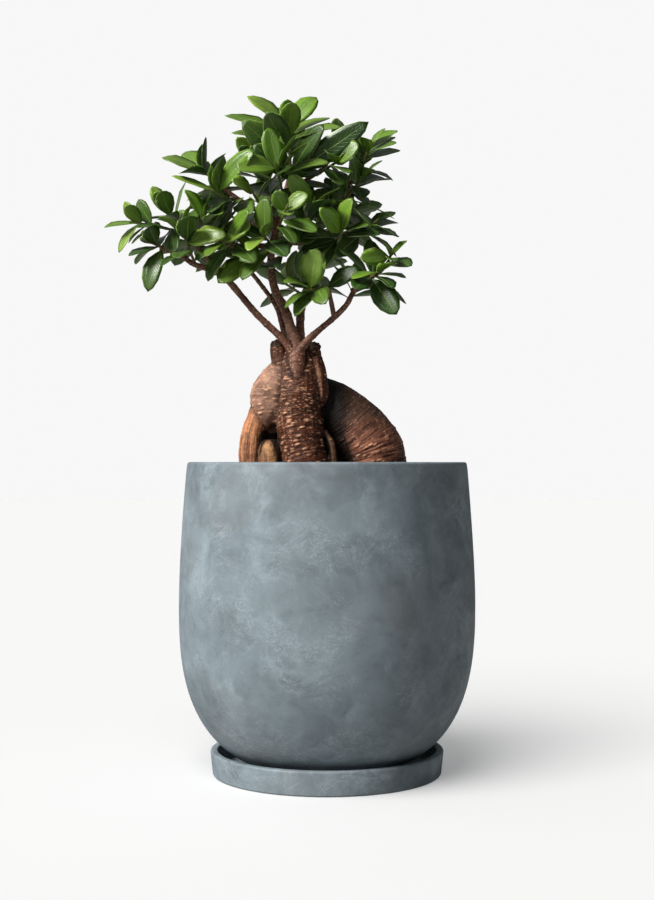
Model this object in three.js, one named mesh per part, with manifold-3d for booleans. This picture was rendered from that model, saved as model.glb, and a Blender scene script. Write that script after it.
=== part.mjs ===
// A grafted ginseng fig (Ficus microcarpa) grown as an indoor bonsai, in a bellied cement-look pot on a
// saucer. Millimetres, +Z up. The origin is the centre of the saucer's underside, on the pot's own axis, and
// the front is -Y.
//
// From the floor up: saucer, pot with a drain hole, a net over the hole, drainage gravel, potting soil, the
// swollen rootstock that stands in the soil, the branches grafted on it, and sprays of leaves on the branches.
import * as THREE from "three";
import { mergeVertices } from "three/addons/utils/BufferGeometryUtils.js";
import Module from "manifold-3d";

const wasm = await Module();
wasm.setup();

// ---------------------------------------------------------------- driving dimensions

const GAP = 0.35; // air between two pieces that touch on the real plant

// Pot: a short flare under the rim, then a belly that closes in a rounded curve to the foot.
const POT_HEIGHT = 256;
const RIM_RADIUS = 118;
const BELLY_RADIUS = 125;
const BELLY_DEPTH = 117; // of the widest ring, below the rim
const FOOT_RADIUS = 56;
const POT_WALL = 7;
const POT_FLOOR = 9;
const LIP_ROUND = 2.4; // radius of the rim's two edges
const SHOULDER_POWER = 1.5; // how the flare runs out into the belly
const BELLY_POWER = 2.75; // 2 is an ellipse; more is squarer
const DRAIN_HOLE_RADIUS = 12;
const ROUND_SEGMENTS = 40;

// Saucer: sized round the pot, so that its lip stays clear of the belly.
const SAUCER_HEIGHT = 20.5;
const SAUCER_WALL = 6.5;
const SAUCER_FLOOR = 6;
const SAUCER_LIP_GAP = 7.7; // from the pot's side to the lip, at the lip's height
const SAUCER_EDGE = 1.8;

// Fill.
const NET_RADIUS = 20;
const NET_THICKNESS = 1.2;
const NET_BAR = 1.6;
const NET_PITCH = 6;
const FILL_GAP = 1; // from the gravel and the soil to the pot's wall
const GRAVEL_DEPTH = 34;
const SOIL_DROP = 26; // of the soil's surface, below the rim
const SOIL_MOUND = 5; // rise of the soil towards the trunk

// Tree. Heights in the tables below are counted from the rim's plane.
const ROOT_SIDES = 12;
const BRANCH_SIDES = 6;
const TWIG_SIDES = 4;
const TWIG_RADIUS = 1.6;
const BUD_LENGTH = 2.2;
const BUD_RADIUS = 0.7;
const LEAF_KEEL = 1.1; // depth of a leaf at its midrib
const LEAF_ROOM = 2.2; // depth that a leaf claims while the sprays are laid out
const LEAF_SLIMNESS = 0.52; // width over length
const GOLDEN_ANGLE = THREE.MathUtils.degToRad(137.508);

const SLIVER = 0.02; // a join can leave slivers far thinner than anything here; they are dropped

// ---------------------------------------------------------------- solids

// A closed mesh as a manifold-3d solid: only its positions count, and shared corners become one vertex.
function toSolid(geometry) {
  const bare = geometry.clone();
  bare.deleteAttribute("normal");
  bare.deleteAttribute("uv");
  const merged = mergeVertices(bare, 1e-4);
  return new wasm.Manifold(
    new wasm.Mesh({
      numProp: 3,
      vertProperties: new Float32Array(merged.attributes.position.array),
      triVerts: new Uint32Array(merged.index.array),
    }),
  );
}

function toGeometry(solid) {
  const mesh = solid.simplify(SLIVER).getMesh();
  const positions = new Float32Array(mesh.numVert * 3);
  for (let i = 0; i < mesh.numVert; i++) {
    positions.set(mesh.vertProperties.subarray(i * mesh.numProp, i * mesh.numProp + 3), i * 3);
  }
  const geometry = new THREE.BufferGeometry();
  geometry.setAttribute("position", new THREE.BufferAttribute(positions, 3));
  geometry.setIndex(new THREE.BufferAttribute(new Uint32Array(mesh.triVerts), 1));
  geometry.computeVertexNormals();
  return geometry;
}

const joined = (solids) => solids.reduce((whole, solid) => whole.add(solid));

// The largest body of a solid, for a piece that a cut has trimmed.
function mainBody(solid) {
  return solid.decompose().reduce((best, body) => (body.volume() > best.volume() ? body : best));
}

// A ring or disc turned about +Z from (radius, height) points that run anticlockwise, from the foot outwards.
function turned(points) {
  const outline = points.map(([radius, height]) => new THREE.Vector2(radius, height));
  return new THREE.LatheGeometry(outline, ROUND_SEGMENTS).rotateX(Math.PI / 2);
}

// Quarter round from one direction to the next, anticlockwise, about a centre in the profile's plane.
function quarterRound(radius, height, round, fromDegrees, steps = 2) {
  return Array.from({ length: steps + 1 }, (_, i) => {
    const angle = THREE.MathUtils.degToRad(fromDegrees + (90 * i) / steps);
    return [radius + round * Math.cos(angle), height + round * Math.sin(angle)];
  });
}

const between = (a, b, share) => a + (b - a) * share;
const evenly = (count, from, to) =>
  Array.from({ length: count }, (_, i) => between(from, to, i / (count - 1)));

// ---------------------------------------------------------------- pot and saucer

// Radius of a bellied wall at a depth below the rim.
function bellied(depth, rim, belly, foot, footDepth) {
  if (depth < BELLY_DEPTH) {
    return belly - (belly - rim) * (1 - Math.max(depth, 0) / BELLY_DEPTH) ** SHOULDER_POWER;
  }
  const atFoot = (1 - (foot / belly) ** BELLY_POWER) ** (1 / BELLY_POWER);
  const share = ((depth - BELLY_DEPTH) / (footDepth - BELLY_DEPTH)) * atFoot;
  return belly * (1 - share ** BELLY_POWER) ** (1 / BELLY_POWER);
}

const potOutside = (depth) => bellied(depth, RIM_RADIUS, BELLY_RADIUS, FOOT_RADIUS, POT_HEIGHT);
const INNER_DEPTH = POT_HEIGHT - POT_FLOOR;
const potInside = (depth) =>
  bellied(depth, RIM_RADIUS - POT_WALL, BELLY_RADIUS - POT_WALL, FOOT_RADIUS - POT_WALL, INNER_DEPTH);

// Depths of the rings from the belly down to the foot, closer together where the wall turns in.
function belowBelly(footDepth, count) {
  return evenly(count, 0, Math.PI / 2).map((angle) => between(BELLY_DEPTH, footDepth, Math.sin(angle)));
}

const POT_BOTTOM = SAUCER_FLOOR + GAP;
const RIM_HEIGHT = POT_BOTTOM + POT_HEIGHT;
const FLOOR_HEIGHT = POT_BOTTOM + POT_FLOOR; // of the pot's inner floor
const INNER_RINGS = [BELLY_DEPTH * 0.4, ...belowBelly(INNER_DEPTH, 7)];

function potGeometry() {
  const wallAt = (radiusAt, depths) => depths.map((depth) => [radiusAt(depth), POT_HEIGHT - depth]);
  const lip = POT_HEIGHT - LIP_ROUND;
  return turned([
    [DRAIN_HOLE_RADIUS, 0],
    ...wallAt(potOutside, belowBelly(POT_HEIGHT, 8).reverse()),
    ...wallAt(potOutside, [BELLY_DEPTH * 0.66, BELLY_DEPTH * 0.33]),
    ...quarterRound(RIM_RADIUS - LIP_ROUND, lip, LIP_ROUND, 0),
    ...quarterRound(RIM_RADIUS - POT_WALL + LIP_ROUND, lip, LIP_ROUND, 90),
    ...wallAt(potInside, INNER_RINGS),
    [DRAIN_HOLE_RADIUS, POT_FLOOR],
    [DRAIN_HOLE_RADIUS, 0],
  ]);
}

const SAUCER_INNER_RADIUS = potOutside(RIM_HEIGHT - SAUCER_HEIGHT) + SAUCER_LIP_GAP;
const SAUCER_RADIUS = SAUCER_INNER_RADIUS + SAUCER_WALL;

function saucerGeometry() {
  const top = SAUCER_HEIGHT - SAUCER_EDGE;
  return turned([
    [0, 0],
    ...quarterRound(SAUCER_RADIUS - SAUCER_EDGE * 2, SAUCER_EDGE, SAUCER_EDGE, -90),
    ...quarterRound(SAUCER_RADIUS - SAUCER_EDGE, top, SAUCER_EDGE, 0),
    ...quarterRound(SAUCER_INNER_RADIUS + SAUCER_EDGE, top, SAUCER_EDGE, 90),
    [SAUCER_INNER_RADIUS - SAUCER_EDGE, SAUCER_FLOOR],
    [0, SAUCER_FLOOR],
  ]);
}

// ---------------------------------------------------------------- net, gravel and soil

// A round plastic net: a disc with a grid of square meshes inside its edge.
function netGeometry() {
  const disc = new THREE.CylinderGeometry(NET_RADIUS, NET_RADIUS, NET_THICKNESS, ROUND_SEGMENTS);
  let net = toSolid(disc.rotateX(Math.PI / 2));
  const opening = NET_PITCH - NET_BAR;
  const reach = Math.floor(NET_RADIUS / NET_PITCH);
  const hole = toSolid(new THREE.BoxGeometry(opening, opening, NET_THICKNESS * 2));
  for (let i = -reach; i <= reach; i++) {
    for (let j = -reach; j <= reach; j++) {
      const [x, y] = [i * NET_PITCH, j * NET_PITCH];
      const corner = Math.hypot(Math.abs(x) + opening / 2, Math.abs(y) + opening / 2);
      if (corner < NET_RADIUS - NET_BAR) net = net.subtract(hole.translate([x, y, 0]));
    }
  }
  return toGeometry(net);
}

const GRAVEL_BOTTOM = FLOOR_HEIGHT + NET_THICKNESS + 2 * GAP;
const GRAVEL_TOP = FLOOR_HEIGHT + GRAVEL_DEPTH;
const SOIL_TOP = RIM_HEIGHT - SOIL_DROP;

// The fill's outline against the pot's inner wall, from one height up to another: straight between the
// wall's rings.
function againstWall(from, to) {
  const rings = [0, ...INNER_RINGS];
  const radiusAt = (height) => {
    const depth = RIM_HEIGHT - height;
    const next = rings.findIndex((ring) => ring >= depth);
    const share = (depth - rings[next - 1]) / (rings[next] - rings[next - 1]);
    return between(potInside(rings[next - 1]), potInside(rings[next]), share);
  };
  const heights = rings.map((ring) => RIM_HEIGHT - ring).filter((height) => height > from && height < to);
  return [from, ...heights.reverse(), to].map((height) => [radiusAt(height) - FILL_GAP, height]);
}

function gravelGeometry() {
  return turned([[0, GRAVEL_BOTTOM], ...againstWall(GRAVEL_BOTTOM, GRAVEL_TOP), [0, GRAVEL_TOP]]);
}

function soilGeometry(buriedRoots) {
  const wall = againstWall(GRAVEL_TOP + GAP, SOIL_TOP);
  const mound = [0.62, 0.3, 0].map((share) => [
    potInside(SOIL_DROP) * share,
    SOIL_TOP + SOIL_MOUND * Math.cos((Math.PI / 2) * share),
  ]);
  const fill = toSolid(turned([[0, GRAVEL_TOP + GAP], ...wall, ...mound]));
  return toGeometry(mainBody(fill.subtract(buriedRoots)));
}

// ---------------------------------------------------------------- wood

// A closed tapering limb through stations [x, y, z, radius], swollen by `extra` where a clearance is cut.
function limb(stations, sides, stepsBetween, extra = 0) {
  const curve = new THREE.CatmullRomCurve3(stations.map(([x, y, z]) => new THREE.Vector3(x, y, z)));
  const steps = (stations.length - 1) * stepsBetween;
  const positions = [];
  const index = [];
  let normal = new THREE.Vector3(0, 1, 0);
  for (let i = 0; i <= steps; i++) {
    const share = i / steps;
    const centre = curve.getPoint(share);
    const tangent = curve.getTangent(share);
    normal = normal.clone().addScaledVector(tangent, -normal.dot(tangent)).normalize();
    const side = new THREE.Vector3().crossVectors(tangent, normal);
    const at = share * (stations.length - 1);
    const before = Math.min(Math.floor(at), stations.length - 2);
    const radius = between(stations[before][3], stations[before + 1][3], at - before) + extra;
    for (let k = 0; k < sides; k++) {
      const angle = (2 * Math.PI * k) / sides;
      const rim = centre.clone();
      rim.addScaledVector(normal, radius * Math.cos(angle));
      rim.addScaledVector(side, radius * Math.sin(angle));
      positions.push(...rim.toArray());
    }
  }
  const [startCap, endCap] = [positions.length / 3, positions.length / 3 + 1];
  positions.push(...curve.getPoint(0).toArray(), ...curve.getPoint(1).toArray());
  const last = steps * sides;
  for (let k = 0; k < sides; k++) {
    const next = (k + 1) % sides;
    for (let ring = 0; ring < last; ring += sides) {
      const [a, b, c, d] = [ring + k, ring + next, ring + sides + next, ring + sides + k];
      index.push(a, b, c, a, c, d);
    }
    index.push(startCap, next, k, endCap, last + k, last + next);
  }
  const geometry = new THREE.BufferGeometry();
  geometry.setAttribute("position", new THREE.Float32BufferAttribute(positions, 3));
  geometry.setIndex(index);
  return toSolid(geometry);
}

// The rootstock's swollen roots, from the neck down into the soil: [x, y, z, radius].
const ROOTS = {
  column: [
    [-25, 3, 97, 11], [-25, 1, 86, 16], [-25, -2, 72, 19.5], [-25, -5, 56, 21.5], [-24, -8, 38, 20.5],
    [-21, -12, 15, 19.5],
    [-16, -14, -8, 20], [-12, -14, -34, 18], [-8, -12, -62, 12], [-6, -8, -84, 6],
  ],
  rightArm: [
    [-15, 8, 65, 13], [3, 14, 48, 23], [21, 18, 27, 30], [34, 20, 6, 33], [37, 18, -20, 30], [33, 14, -45, 19],
    [28, 10, -66, 9],
  ],
  leftShoulder: [[-30, 1, 82, 11], [-39, -1, 70, 16], [-46, -4, 56, 18.5], [-47, -6, 42, 15], [-46, -6, 32, 8]],
  leftRoot: [
    [-50, -2, 50, 13], [-56, -4, 38, 11.5], [-61, -6, 24, 11], [-63, -8, 8, 11], [-62, -8, -8, 12],
    [-57, -8, -30, 10], [-50, -6, -50, 6],
  ],
  leftLobe: [[-47, -15, 19, 4], [-47, -15, 12, 9], [-46, -15, -2, 11], [-43, -13, -24, 10], [-38, -10, -44, 6]],
  hollowBack: [[-46, 4, 50, 10], [-49, 6, 26, 12], [-49, 6, -4, 12], [-44, 4, -30, 9]],
  rightFold: [[-11, -4, 88, 7], [-8, -7, 72, 8], [-6, -9, 57, 8], [-8, -10, 45, 5]],
  leftStub: [[-34, -4, 68, 10], [-38, -4, 82, 8.5], [-41, -3, 94, 6.8], [-42, -2, 103, 4.8]],
  rightStub: [[-17, -1, 68, 11], [-14, 0, 82, 9.5], [-13, 2, 93, 8], [-12, 3, 101, 6]],
  rootlet: [[-2, -15, 27, 2], [4, -19, 14, 3], [6, -20, -4, 3.6], [8, -18, -28, 3.4], [10, -14, -46, 2.4]],
};

// Grafted branches, thickest first: each starts in the piece that it grows from and is trimmed to its
// surface.
const BRANCHES = {
  main_stem: [
    [-25, -19, 63, 2.6], [-25, -17, 73, 5.6], [-25, -13, 86, 7.4], [-26, -8, 98, 6.2], [-30, -4, 111, 4.6],
    [-36, -1, 130, 3.9], [-43, 0, 143, 3.6], [-47, 0, 160, 3.4], [-47, 0, 180, 3.1], [-42, 1, 201, 2.8],
    [-36, 0, 224, 2.4], [-31, -2, 243, 2.1],
  ],
  back_stem: [
    [-22, 6, 90, 6], [-23, 9, 110, 4.1], [-22, 12, 130, 3.4], [-16, 18, 154, 2.9], [-6, 25, 180, 2.6],
    [6, 29, 208, 2.3], [15, 28, 229, 2.1], [22, 26, 245, 1.8],
  ],
  left_branch: [
    [-28, -12, 91, 4.4], [-37, -12, 103, 3.4], [-59, -14, 124, 3], [-82, -17, 151, 2.9], [-93, -18, 159, 2.8],
    [-111, -20, 165, 2.4], [-123, -20, 173, 2.1], [-137, -20, 178, 1.9],
  ],
  left_fork: [[-92, -18, 158, 2.6], [-102, -15, 173, 2.4], [-111, -11, 183, 2.1], [-120, -8, 198, 1.8]],
  right_branch: [
    [-25, -14, 91, 4.4], [-17, -14, 101, 3.4], [-6, -15, 111, 2.7], [6, -16, 121, 2.6], [16, -18, 131, 2.4],
    [23, -18, 143, 2.3], [34, -18, 152, 2.1], [44, -16, 159, 1.9], [52, -14, 168, 1.7],
  ],
  right_fork: [[6, -16, 121, 2.2], [3, -20, 136, 1.9], [1, -24, 145, 1.7]],
  thin_branch: [
    [-29, 2, 93, 3.4], [-36, 6, 108, 2.5], [-41, 10, 127, 2.2], [-47, 15, 139, 2], [-60, 24, 157, 1.9],
    [-70, 34, 170, 1.8], [-78, 44, 184, 1.6],
  ],
  mid_left_branch: [[-47, 0, 183, 2.6], [-64, -8, 182, 2.2], [-82, -14, 182, 2], [-97, -18, 189, 1.7]],
  mid_right_branch: [[-46, 0, 186, 2.6], [-20, 3, 186, 2.2], [8, 2, 186, 1.9], [28, -2, 191, 1.6]],
  front_branch: [[-47, 0, 172, 2.6], [-45, -14, 182, 2.2], [-42, -28, 190, 1.8]],
  upper_left_branch: [[-41, 1, 203, 2.6], [-60, -4, 213, 2.2], [-80, -7, 225, 2], [-94, -8, 238, 1.7]],
  upper_right_branch: [[-36, 0, 226, 2.2], [-21, 7, 238, 2], [-5, 13, 250, 1.7]],
  back_left_branch: [[-43, 1, 196, 2.4], [-58, 20, 203, 2.1], [-78, 38, 212, 1.8]],
  back_right_branch: [[-9, 23, 174, 2.4], [2, 44, 188, 2.1], [18, 62, 203, 1.7]],
  back_low_branch: [[-22, 11, 128, 2.4], [-19, 34, 145, 2.1], [-12, 60, 166, 1.7]],
};

// ---------------------------------------------------------------- leaves

// Leaf sprays: shoot base, shoot tip, number of leaves, leaf length, turn of the lowest leaf in degrees.
const SPRAYS = {
  apex: [[-30, -2, 240], [-33, -7, 282], 7, 40, 50],
  apex_right: [[-6, 12, 248], [10, 8, 266], 8, 42, 75],
  apex_left: [[-42, 4, 214], [-60, 8, 252], 10, 44, 140],
  apex_back: [[-33, 0, 234], [-32, 32, 272], 8, 44, 10],
  right_top: [[21, 26, 243], [36, 4, 266], 7, 34, 200],
  right_high: [[14, 28, 226], [32, 6, 244], 8, 32, 60],
  right_middle: [[4, 28, 203], [14, -10, 222], 8, 31, 110],
  right_side: [[27, -2, 191], [38, -8, 200], 8, 34, 75],
  right_end: [[51, -14, 167], [53, -20, 172], 6, 24, 250],
  right_low: [[33, -18, 151], [42, -32, 157], 8, 34, 90],
  right_under: [[17, -18, 132], [24, -8, 148], 7, 34, 60],
  low_middle: [[1, -24, 145], [-14, -36, 142], 6, 34, 330],
  front_shoot: [[-42, -27, 190], [-34, -42, 206], 4, 34, 200],
  front_low: [[-45, -12, 181], [-52, -38, 186], 6, 38, 300],
  under_stem: [[-47, 0, 163], [-60, -16, 172], 5, 40, 95],
  left_high: [[-62, -4, 214], [-92, -24, 224], 8, 38, 70],
  left_top: [[-93, -8, 237], [-107, -14, 245], 7, 31, 210],
  left_shoulder: [[-119, -8, 197], [-136, -12, 210], 8, 34, 20],
  far_left: [[-118, -9, 193], [-158, -22, 199], 8, 30, 100],
  left_end: [[-136, -20, 178], [-147, -22, 183], 8, 32, 270],
  left_middle: [[-110, -20, 165], [-120, -30, 192], 9, 36, 30],
  mid_left_end: [[-96, -18, 188], [-102, -32, 200], 9, 38, 150],
  mid_left: [[-72, -11, 182], [-86, -34, 182], 8, 40, 230],
  centre_left: [[-52, -2, 209], [-62, -30, 224], 9, 44, 100],
  centre_top: [[-36, 0, 222], [-42, -28, 244], 10, 46, 320],
  centre_right: [[-22, 3, 186], [-12, -24, 214], 10, 42, 10],
  right_front: [[8, 2, 186], [12, -26, 190], 9, 40, 75],
  right_crown: [[-8, 12, 246], [6, -14, 250], 9, 44, 120],
  back_left: [[-77, 37, 211], [-92, 48, 220], 8, 38, 20],
  back_left_low: [[-77, 43, 183], [-90, 50, 190], 8, 36, 140],
  back_left_high: [[-80, -7, 225], [-92, 20, 238], 7, 38, 60],
  back_middle: [[-56, 18, 202], [-52, 44, 222], 9, 44, 200],
  back_far_left: [[-111, -11, 183], [-118, 20, 192], 7, 34, 330],
  back_right: [[17, 61, 202], [20, 76, 210], 8, 34, 45],
  back_centre: [[-4, 26, 184], [-10, 50, 216], 9, 44, 250],
  back_side: [[8, 30, 212], [24, 48, 218], 7, 34, 160],
  back_low: [[-12, 59, 165], [-8, 74, 174], 8, 36, 80],
  back_under: [[-19, 33, 144], [-38, 50, 158], 7, 36, 290],
};

const SKY = [-0.2, -0.5, 0.8];
const VIEWER = [-0.2, -0.9, 0.35];
const SHADE = [0.4, -0.9, 0.1];
const LEVEL = [0.5, -0.15, 0.85];

// Leaves that stand out of the crown: spray, share along its shoot, tip, width, where the upper side faces.
const OUTER_LEAVES = [
  ["apex", 0.98, [-65, -14, 309], 22, SKY],
  ["apex", 0.98, [-9, 0, 310], 20, VIEWER],
  ["apex", 0.72, [-84, -14, 295], 20, SKY],
  ["apex", 0.5, [-50, -34, 288], 22, VIEWER],
  ["apex", 0.2, [-67, -34, 281], 24, VIEWER],
  ["apex", 0.85, [2, 14, 297], 18, SKY],
  ["apex", 0.72, [12, -20, 281], 18, SKY],
  ["apex", 0.06, [34, -30, 281], 20, SHADE],
  ["apex", 0.02, [-58, -30, 262], 20, VIEWER],
  ["apex", 0.12, [-4, -28, 280], 19, VIEWER],
  ["apex", 0.6, [-80, -4, 282], 18, SKY],
  ["right_crown", 0.95, [24, -30, 264], 21, VIEWER],
  ["centre_top", 0.95, [-73, -46, 243], 20, VIEWER],
  ["centre_top", 0.7, [2, -42, 246], 18, SKY],
  ["centre_left", 0.9, [-76, -50, 230], 15, VIEWER],
  ["centre_right", 0.9, [-30, -46, 234], 16, VIEWER],
  ["right_front", 0.95, [-4, -50, 206], 17, VIEWER],
  ["right_side", 0.1, [8, -28, 172], 16, SHADE],
  ["right_end", 0.9, [28, -38, 168], 15, SHADE],
  ["right_low", 0.95, [20, -46, 150], 14, SKY],
  ["right_high", 0.6, [21, -16, 257], 18, SHADE],
  ["right_under", 0.9, [8, -26, 170], 17, SKY],
  ["right_top", 0.98, [60, 10, 284], 17, SKY],
  ["right_top", 0.5, [20, -6, 281], 15, SHADE],
  ["right_top", 0.85, [58, -8, 270], 16, SKY],
  ["right_top", 0.7, [63, 14, 268], 18, SKY],
  ["right_middle", 0.98, [58, -14, 204], 15, LEVEL],
  ["right_middle", 0.8, [39, -28, 197], 16, LEVEL],
  ["right_side", 0.4, [62, 2, 193], 18, SKY],
  ["right_end", 0.1, [70, -30, 163], 18, SKY],
  ["right_low", 0.05, [69, -8, 136], 17, SKY],
  ["right_low", 0.4, [57, -42, 121], 21, VIEWER],
  ["low_middle", 0.95, [-9, -48, 174], 23, VIEWER],
  ["low_middle", 0.95, [-34, -50, 149], 20, SKY],
  ["low_middle", 0.4, [-28, -40, 122], 17, SKY],
  ["low_middle", 0.05, [25, -36, 160], 16, VIEWER],
  ["front_shoot", 0.98, [-42, -52, 220], 14, VIEWER],
  ["front_shoot", 0.98, [-16, -48, 219], 15, VIEWER],
  ["front_shoot", 0.6, [-8, -60, 186], 17, SKY],
  ["front_low", 0.2, [-70, -44, 150], 20, SKY],
  ["under_stem", 0.98, [-90, -34, 148], 21, VIEWER],
  ["mid_left", 0.98, [-62, -50, 194], 17, VIEWER],
  ["left_high", 0.97, [-62, -42, 257], 18, VIEWER],
  ["left_high", 0.9, [-128, -34, 237], 15, SKY],
  ["mid_left", 0.9, [-64, -56, 204], 14, VIEWER],
  ["left_middle", 0.6, [-84, -48, 187], 18, VIEWER],
  ["left_top", 0.6, [-138, -14, 257], 18, SKY],
  ["left_top", 0.9, [-121, 10, 267], 17, SKY],
  ["far_left", 0.98, [-185, -28, 195], 12, SKY],
  ["far_left", 0.97, [-174, -30, 175], 11, SKY],
  ["far_left", 0.2, [-158, -40, 196], 16, SKY],
  ["left_end", 0.3, [-164, -34, 172], 15, SKY],
  ["left_end", 0.1, [-149, -32, 142], 17, VIEWER],
];

// Share of a leaf's length and share of its half width; the space that it claims starts clear of the shoot.
const LEAF_STATIONS = [[0, 0.06], [0.36, 1], [0.74, 0.82]];
const ROOM_STATIONS = [[0.24, 0.66], ...LEAF_STATIONS.slice(1)];
const LOWEST_LEAN = THREE.MathUtils.degToRad(82); // of the lowest leaf, from the shoot's line
const TIP_LEAN = THREE.MathUtils.degToRad(30);
const LIGHT_PULL = 0.22; // how much a leaf turns up to the light
// A leaf that would cut another is turned about its shoot and lifted, by these degrees, until it's clear.
const NUDGES = [
  [0, 0], [16, 0], [-16, 0], [0, 18], [0, -18], [30, 8], [-30, 8], [48, -6], [-48, -6], [65, 14], [-65, 14],
  [84, 0], [-84, 0], [110, 10], [-110, 10],
];

// A repeatable number from 0 to 1 for each count.
const scatter = (count) => ((count * 7919 + 523) % 1009) / 1009;

const vector = (point) => new THREE.Vector3(...point);

// A leaf's frame and size, from its foot, its tip and where its upper side faces.
function leafPlace(foot, tip, width, facing, count) {
  const along = tip.clone().sub(foot);
  const length = along.length();
  along.normalize();
  const upper = facing.clone().addScaledVector(along, -facing.dot(along)).normalize();
  return {
    foot,
    along,
    upper,
    side: new THREE.Vector3().crossVectors(along, upper),
    length,
    halfWidth: width / 2,
    arch: between(0.02, 0.2, scatter(count + 617)),
  };
}

// A leaf of the crown's inside: one step of the golden angle on from the leaf below it.
function shootLeaf([from, to, leaves, length, turn], order, count, nudge) {
  const base = vector(from);
  const axis = vector(to).sub(base).normalize();
  const age = 1 - order / (leaves - 1); // 1 for the lowest leaf, 0 at the tip
  const foot = base.clone().lerp(vector(to), between(1, 0.3, age));
  const reference = Math.abs(axis.x) < 0.8 ? new THREE.Vector3(1, 0, 0) : new THREE.Vector3(0, 0, 1);
  const across = new THREE.Vector3().crossVectors(axis, reference).normalize();
  const beyond = new THREE.Vector3().crossVectors(axis, across);
  const around = THREE.MathUtils.degToRad(turn + nudge[0]) + order * GOLDEN_ANGLE;
  const lean = between(TIP_LEAN, LOWEST_LEAN, age) + THREE.MathUtils.degToRad(nudge[1]);
  const along = axis.clone().multiplyScalar(Math.cos(lean));
  along.addScaledVector(across, Math.cos(around) * Math.sin(lean));
  along.addScaledVector(beyond, Math.sin(around) * Math.sin(lean));
  along.z += LIGHT_PULL;
  const size = length * between(0.66, 1, Math.min(1, age * 1.8)) * between(0.9, 1.1, scatter(count));
  const tip = foot.clone().addScaledVector(along.normalize(), size);
  const facing = axis.clone().multiplyScalar(0.5);
  facing.z += 0.6;
  return leafPlace(foot, tip, size * LEAF_SLIMNESS, facing, count);
}

// A closed blade with the same kind of section at each station, from the leaf's foot to a point at its tip.
// A section is a list of [across, height], anticlockwise for someone who looks from the tip to the foot.
function bladeSolid(place, stations, section) {
  const corners = stations.flatMap(([share, width]) =>
    section(width * place.halfWidth).map(([across, height]) => {
      const point = place.foot.clone();
      point.addScaledVector(place.side, across);
      point.addScaledVector(place.along, share * place.length);
      return point.addScaledVector(place.upper, height + place.arch * share * (1 - share) * place.length);
    }),
  );
  const sides = corners.length / stations.length;
  const tip = corners.length;
  corners.push(place.foot.clone().addScaledVector(place.along, place.length));
  const faces = [];
  for (let k = 0; k < sides; k++) {
    const next = (k + 1) % sides;
    if (k > 1) faces.push(0, k - 1, k);
    for (let s = 0; s < tip - sides; s += sides) {
      faces.push(s + k, s + sides + next, s + next, s + k, s + sides + k, s + sides + next);
    }
    faces.push(tip - sides + k, tip, tip - sides + next);
  }
  const geometry = new THREE.BufferGeometry().setFromPoints(corners);
  geometry.setIndex(faces);
  return toSolid(geometry);
}

// The leaf itself is flat above, with its midrib as a keel below.
const leafSolid = (place) =>
  bladeSolid(place, LEAF_STATIONS, (half) => [
    [-half, LEAF_KEEL / 2],
    [0, -LEAF_KEEL / 2],
    [half, LEAF_KEEL / 2],
  ]);

// The space round a leaf, as a slab.
function leafRoom(place, depth, stations) {
  const reach = { ...place, length: place.length + 2 * GAP };
  return bladeSolid(reach, stations, (half) => [
    [-half - GAP, depth / 2],
    [-half - GAP, -depth / 2],
    [half + GAP, -depth / 2],
    [half + GAP, depth / 2],
  ]);
}

// A green shoot that ends in a bud; the feet of its leaves are inside it.
function shoot([from, to], extra = 0) {
  const bud = vector(to).addScaledVector(vector(to).sub(vector(from)).normalize(), BUD_LENGTH);
  const stations = [[...from, TWIG_RADIUS], [...to, TWIG_RADIUS], [...bud.toArray(), BUD_RADIUS]];
  return limb(stations, TWIG_SIDES, 1, extra);
}

const overlaps = (solid, others) => others.some((other) => !solid.intersect(other).isEmpty());

// Lays out every spray's leaves, one at a time, each clear of the wood and of the other sprays' leaves.
function layOutLeaves(wood) {
  const names = Object.keys(SPRAYS);
  const shoots = names.map((name) => shoot(SPRAYS[name], 2 * GAP));
  const claimed = [];
  const places = names.map(() => []);
  const room = (place) => leafRoom(place, LEAF_ROOM, ROOM_STATIONS);
  const isClear = (place) => !overlaps(room(place), [wood, ...shoots, ...claimed]);
  const claim = (place, n) => {
    claimed.push(room(place));
    places[n].push(place);
  };
  let count = 0;
  OUTER_LEAVES.forEach(([name, share, tip, width, facing]) => {
    const [from, to] = SPRAYS[name];
    const foot = vector(from).lerp(vector(to), share);
    claim(leafPlace(foot, vector(tip), width, vector(facing), (count += 1)), names.indexOf(name));
  });
  names.forEach((name, n) => {
    for (let order = 0; order < SPRAYS[name][2]; order++) {
      count += 1;
      const tries = NUDGES.map((nudge) => shootLeaf(SPRAYS[name], order, count, nudge));
      const place = tries.find(isClear);
      if (place) claim(place, n);
    }
  });
  return Object.fromEntries(names.map((name, n) => [name, places[n]]));
}

// ---------------------------------------------------------------- assembly

const plant = new THREE.Group();

function finish(color, roughness) {
  return new THREE.MeshStandardMaterial({ color, roughness, metalness: 0 });
}

const CEMENT = finish(0x7f8a8e, 0.75);
const NET = finish(0x2b2d2b, 0.6);
const GRAVEL = finish(0x9a8f7e, 0.95);
const SOIL = finish(0x33261d, 1);
const BARK = finish(0x6b4433, 0.8);
const TWIG_BARK = finish(0x7a5443, 0.75);
const LEAF = finish(0x3f6b22, 0.4);

function add(parent, name, geometry, material) {
  const mesh = new THREE.Mesh(geometry, material);
  mesh.name = name;
  parent.add(mesh);
  return mesh;
}

add(plant, "saucer", saucerGeometry(), CEMENT);
add(plant, "pot", potGeometry(), CEMENT).position.z = POT_BOTTOM;
add(plant, "drain_net", netGeometry(), NET).position.z = FLOOR_HEIGHT + GAP + NET_THICKNESS / 2;
add(plant, "drainage_gravel", gravelGeometry(), GRAVEL);

// The tree is modelled from the rim's plane, so its group stands at the rim's height.
const tree = new THREE.Group();
tree.position.z = RIM_HEIGHT;
plant.add(tree);

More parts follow.
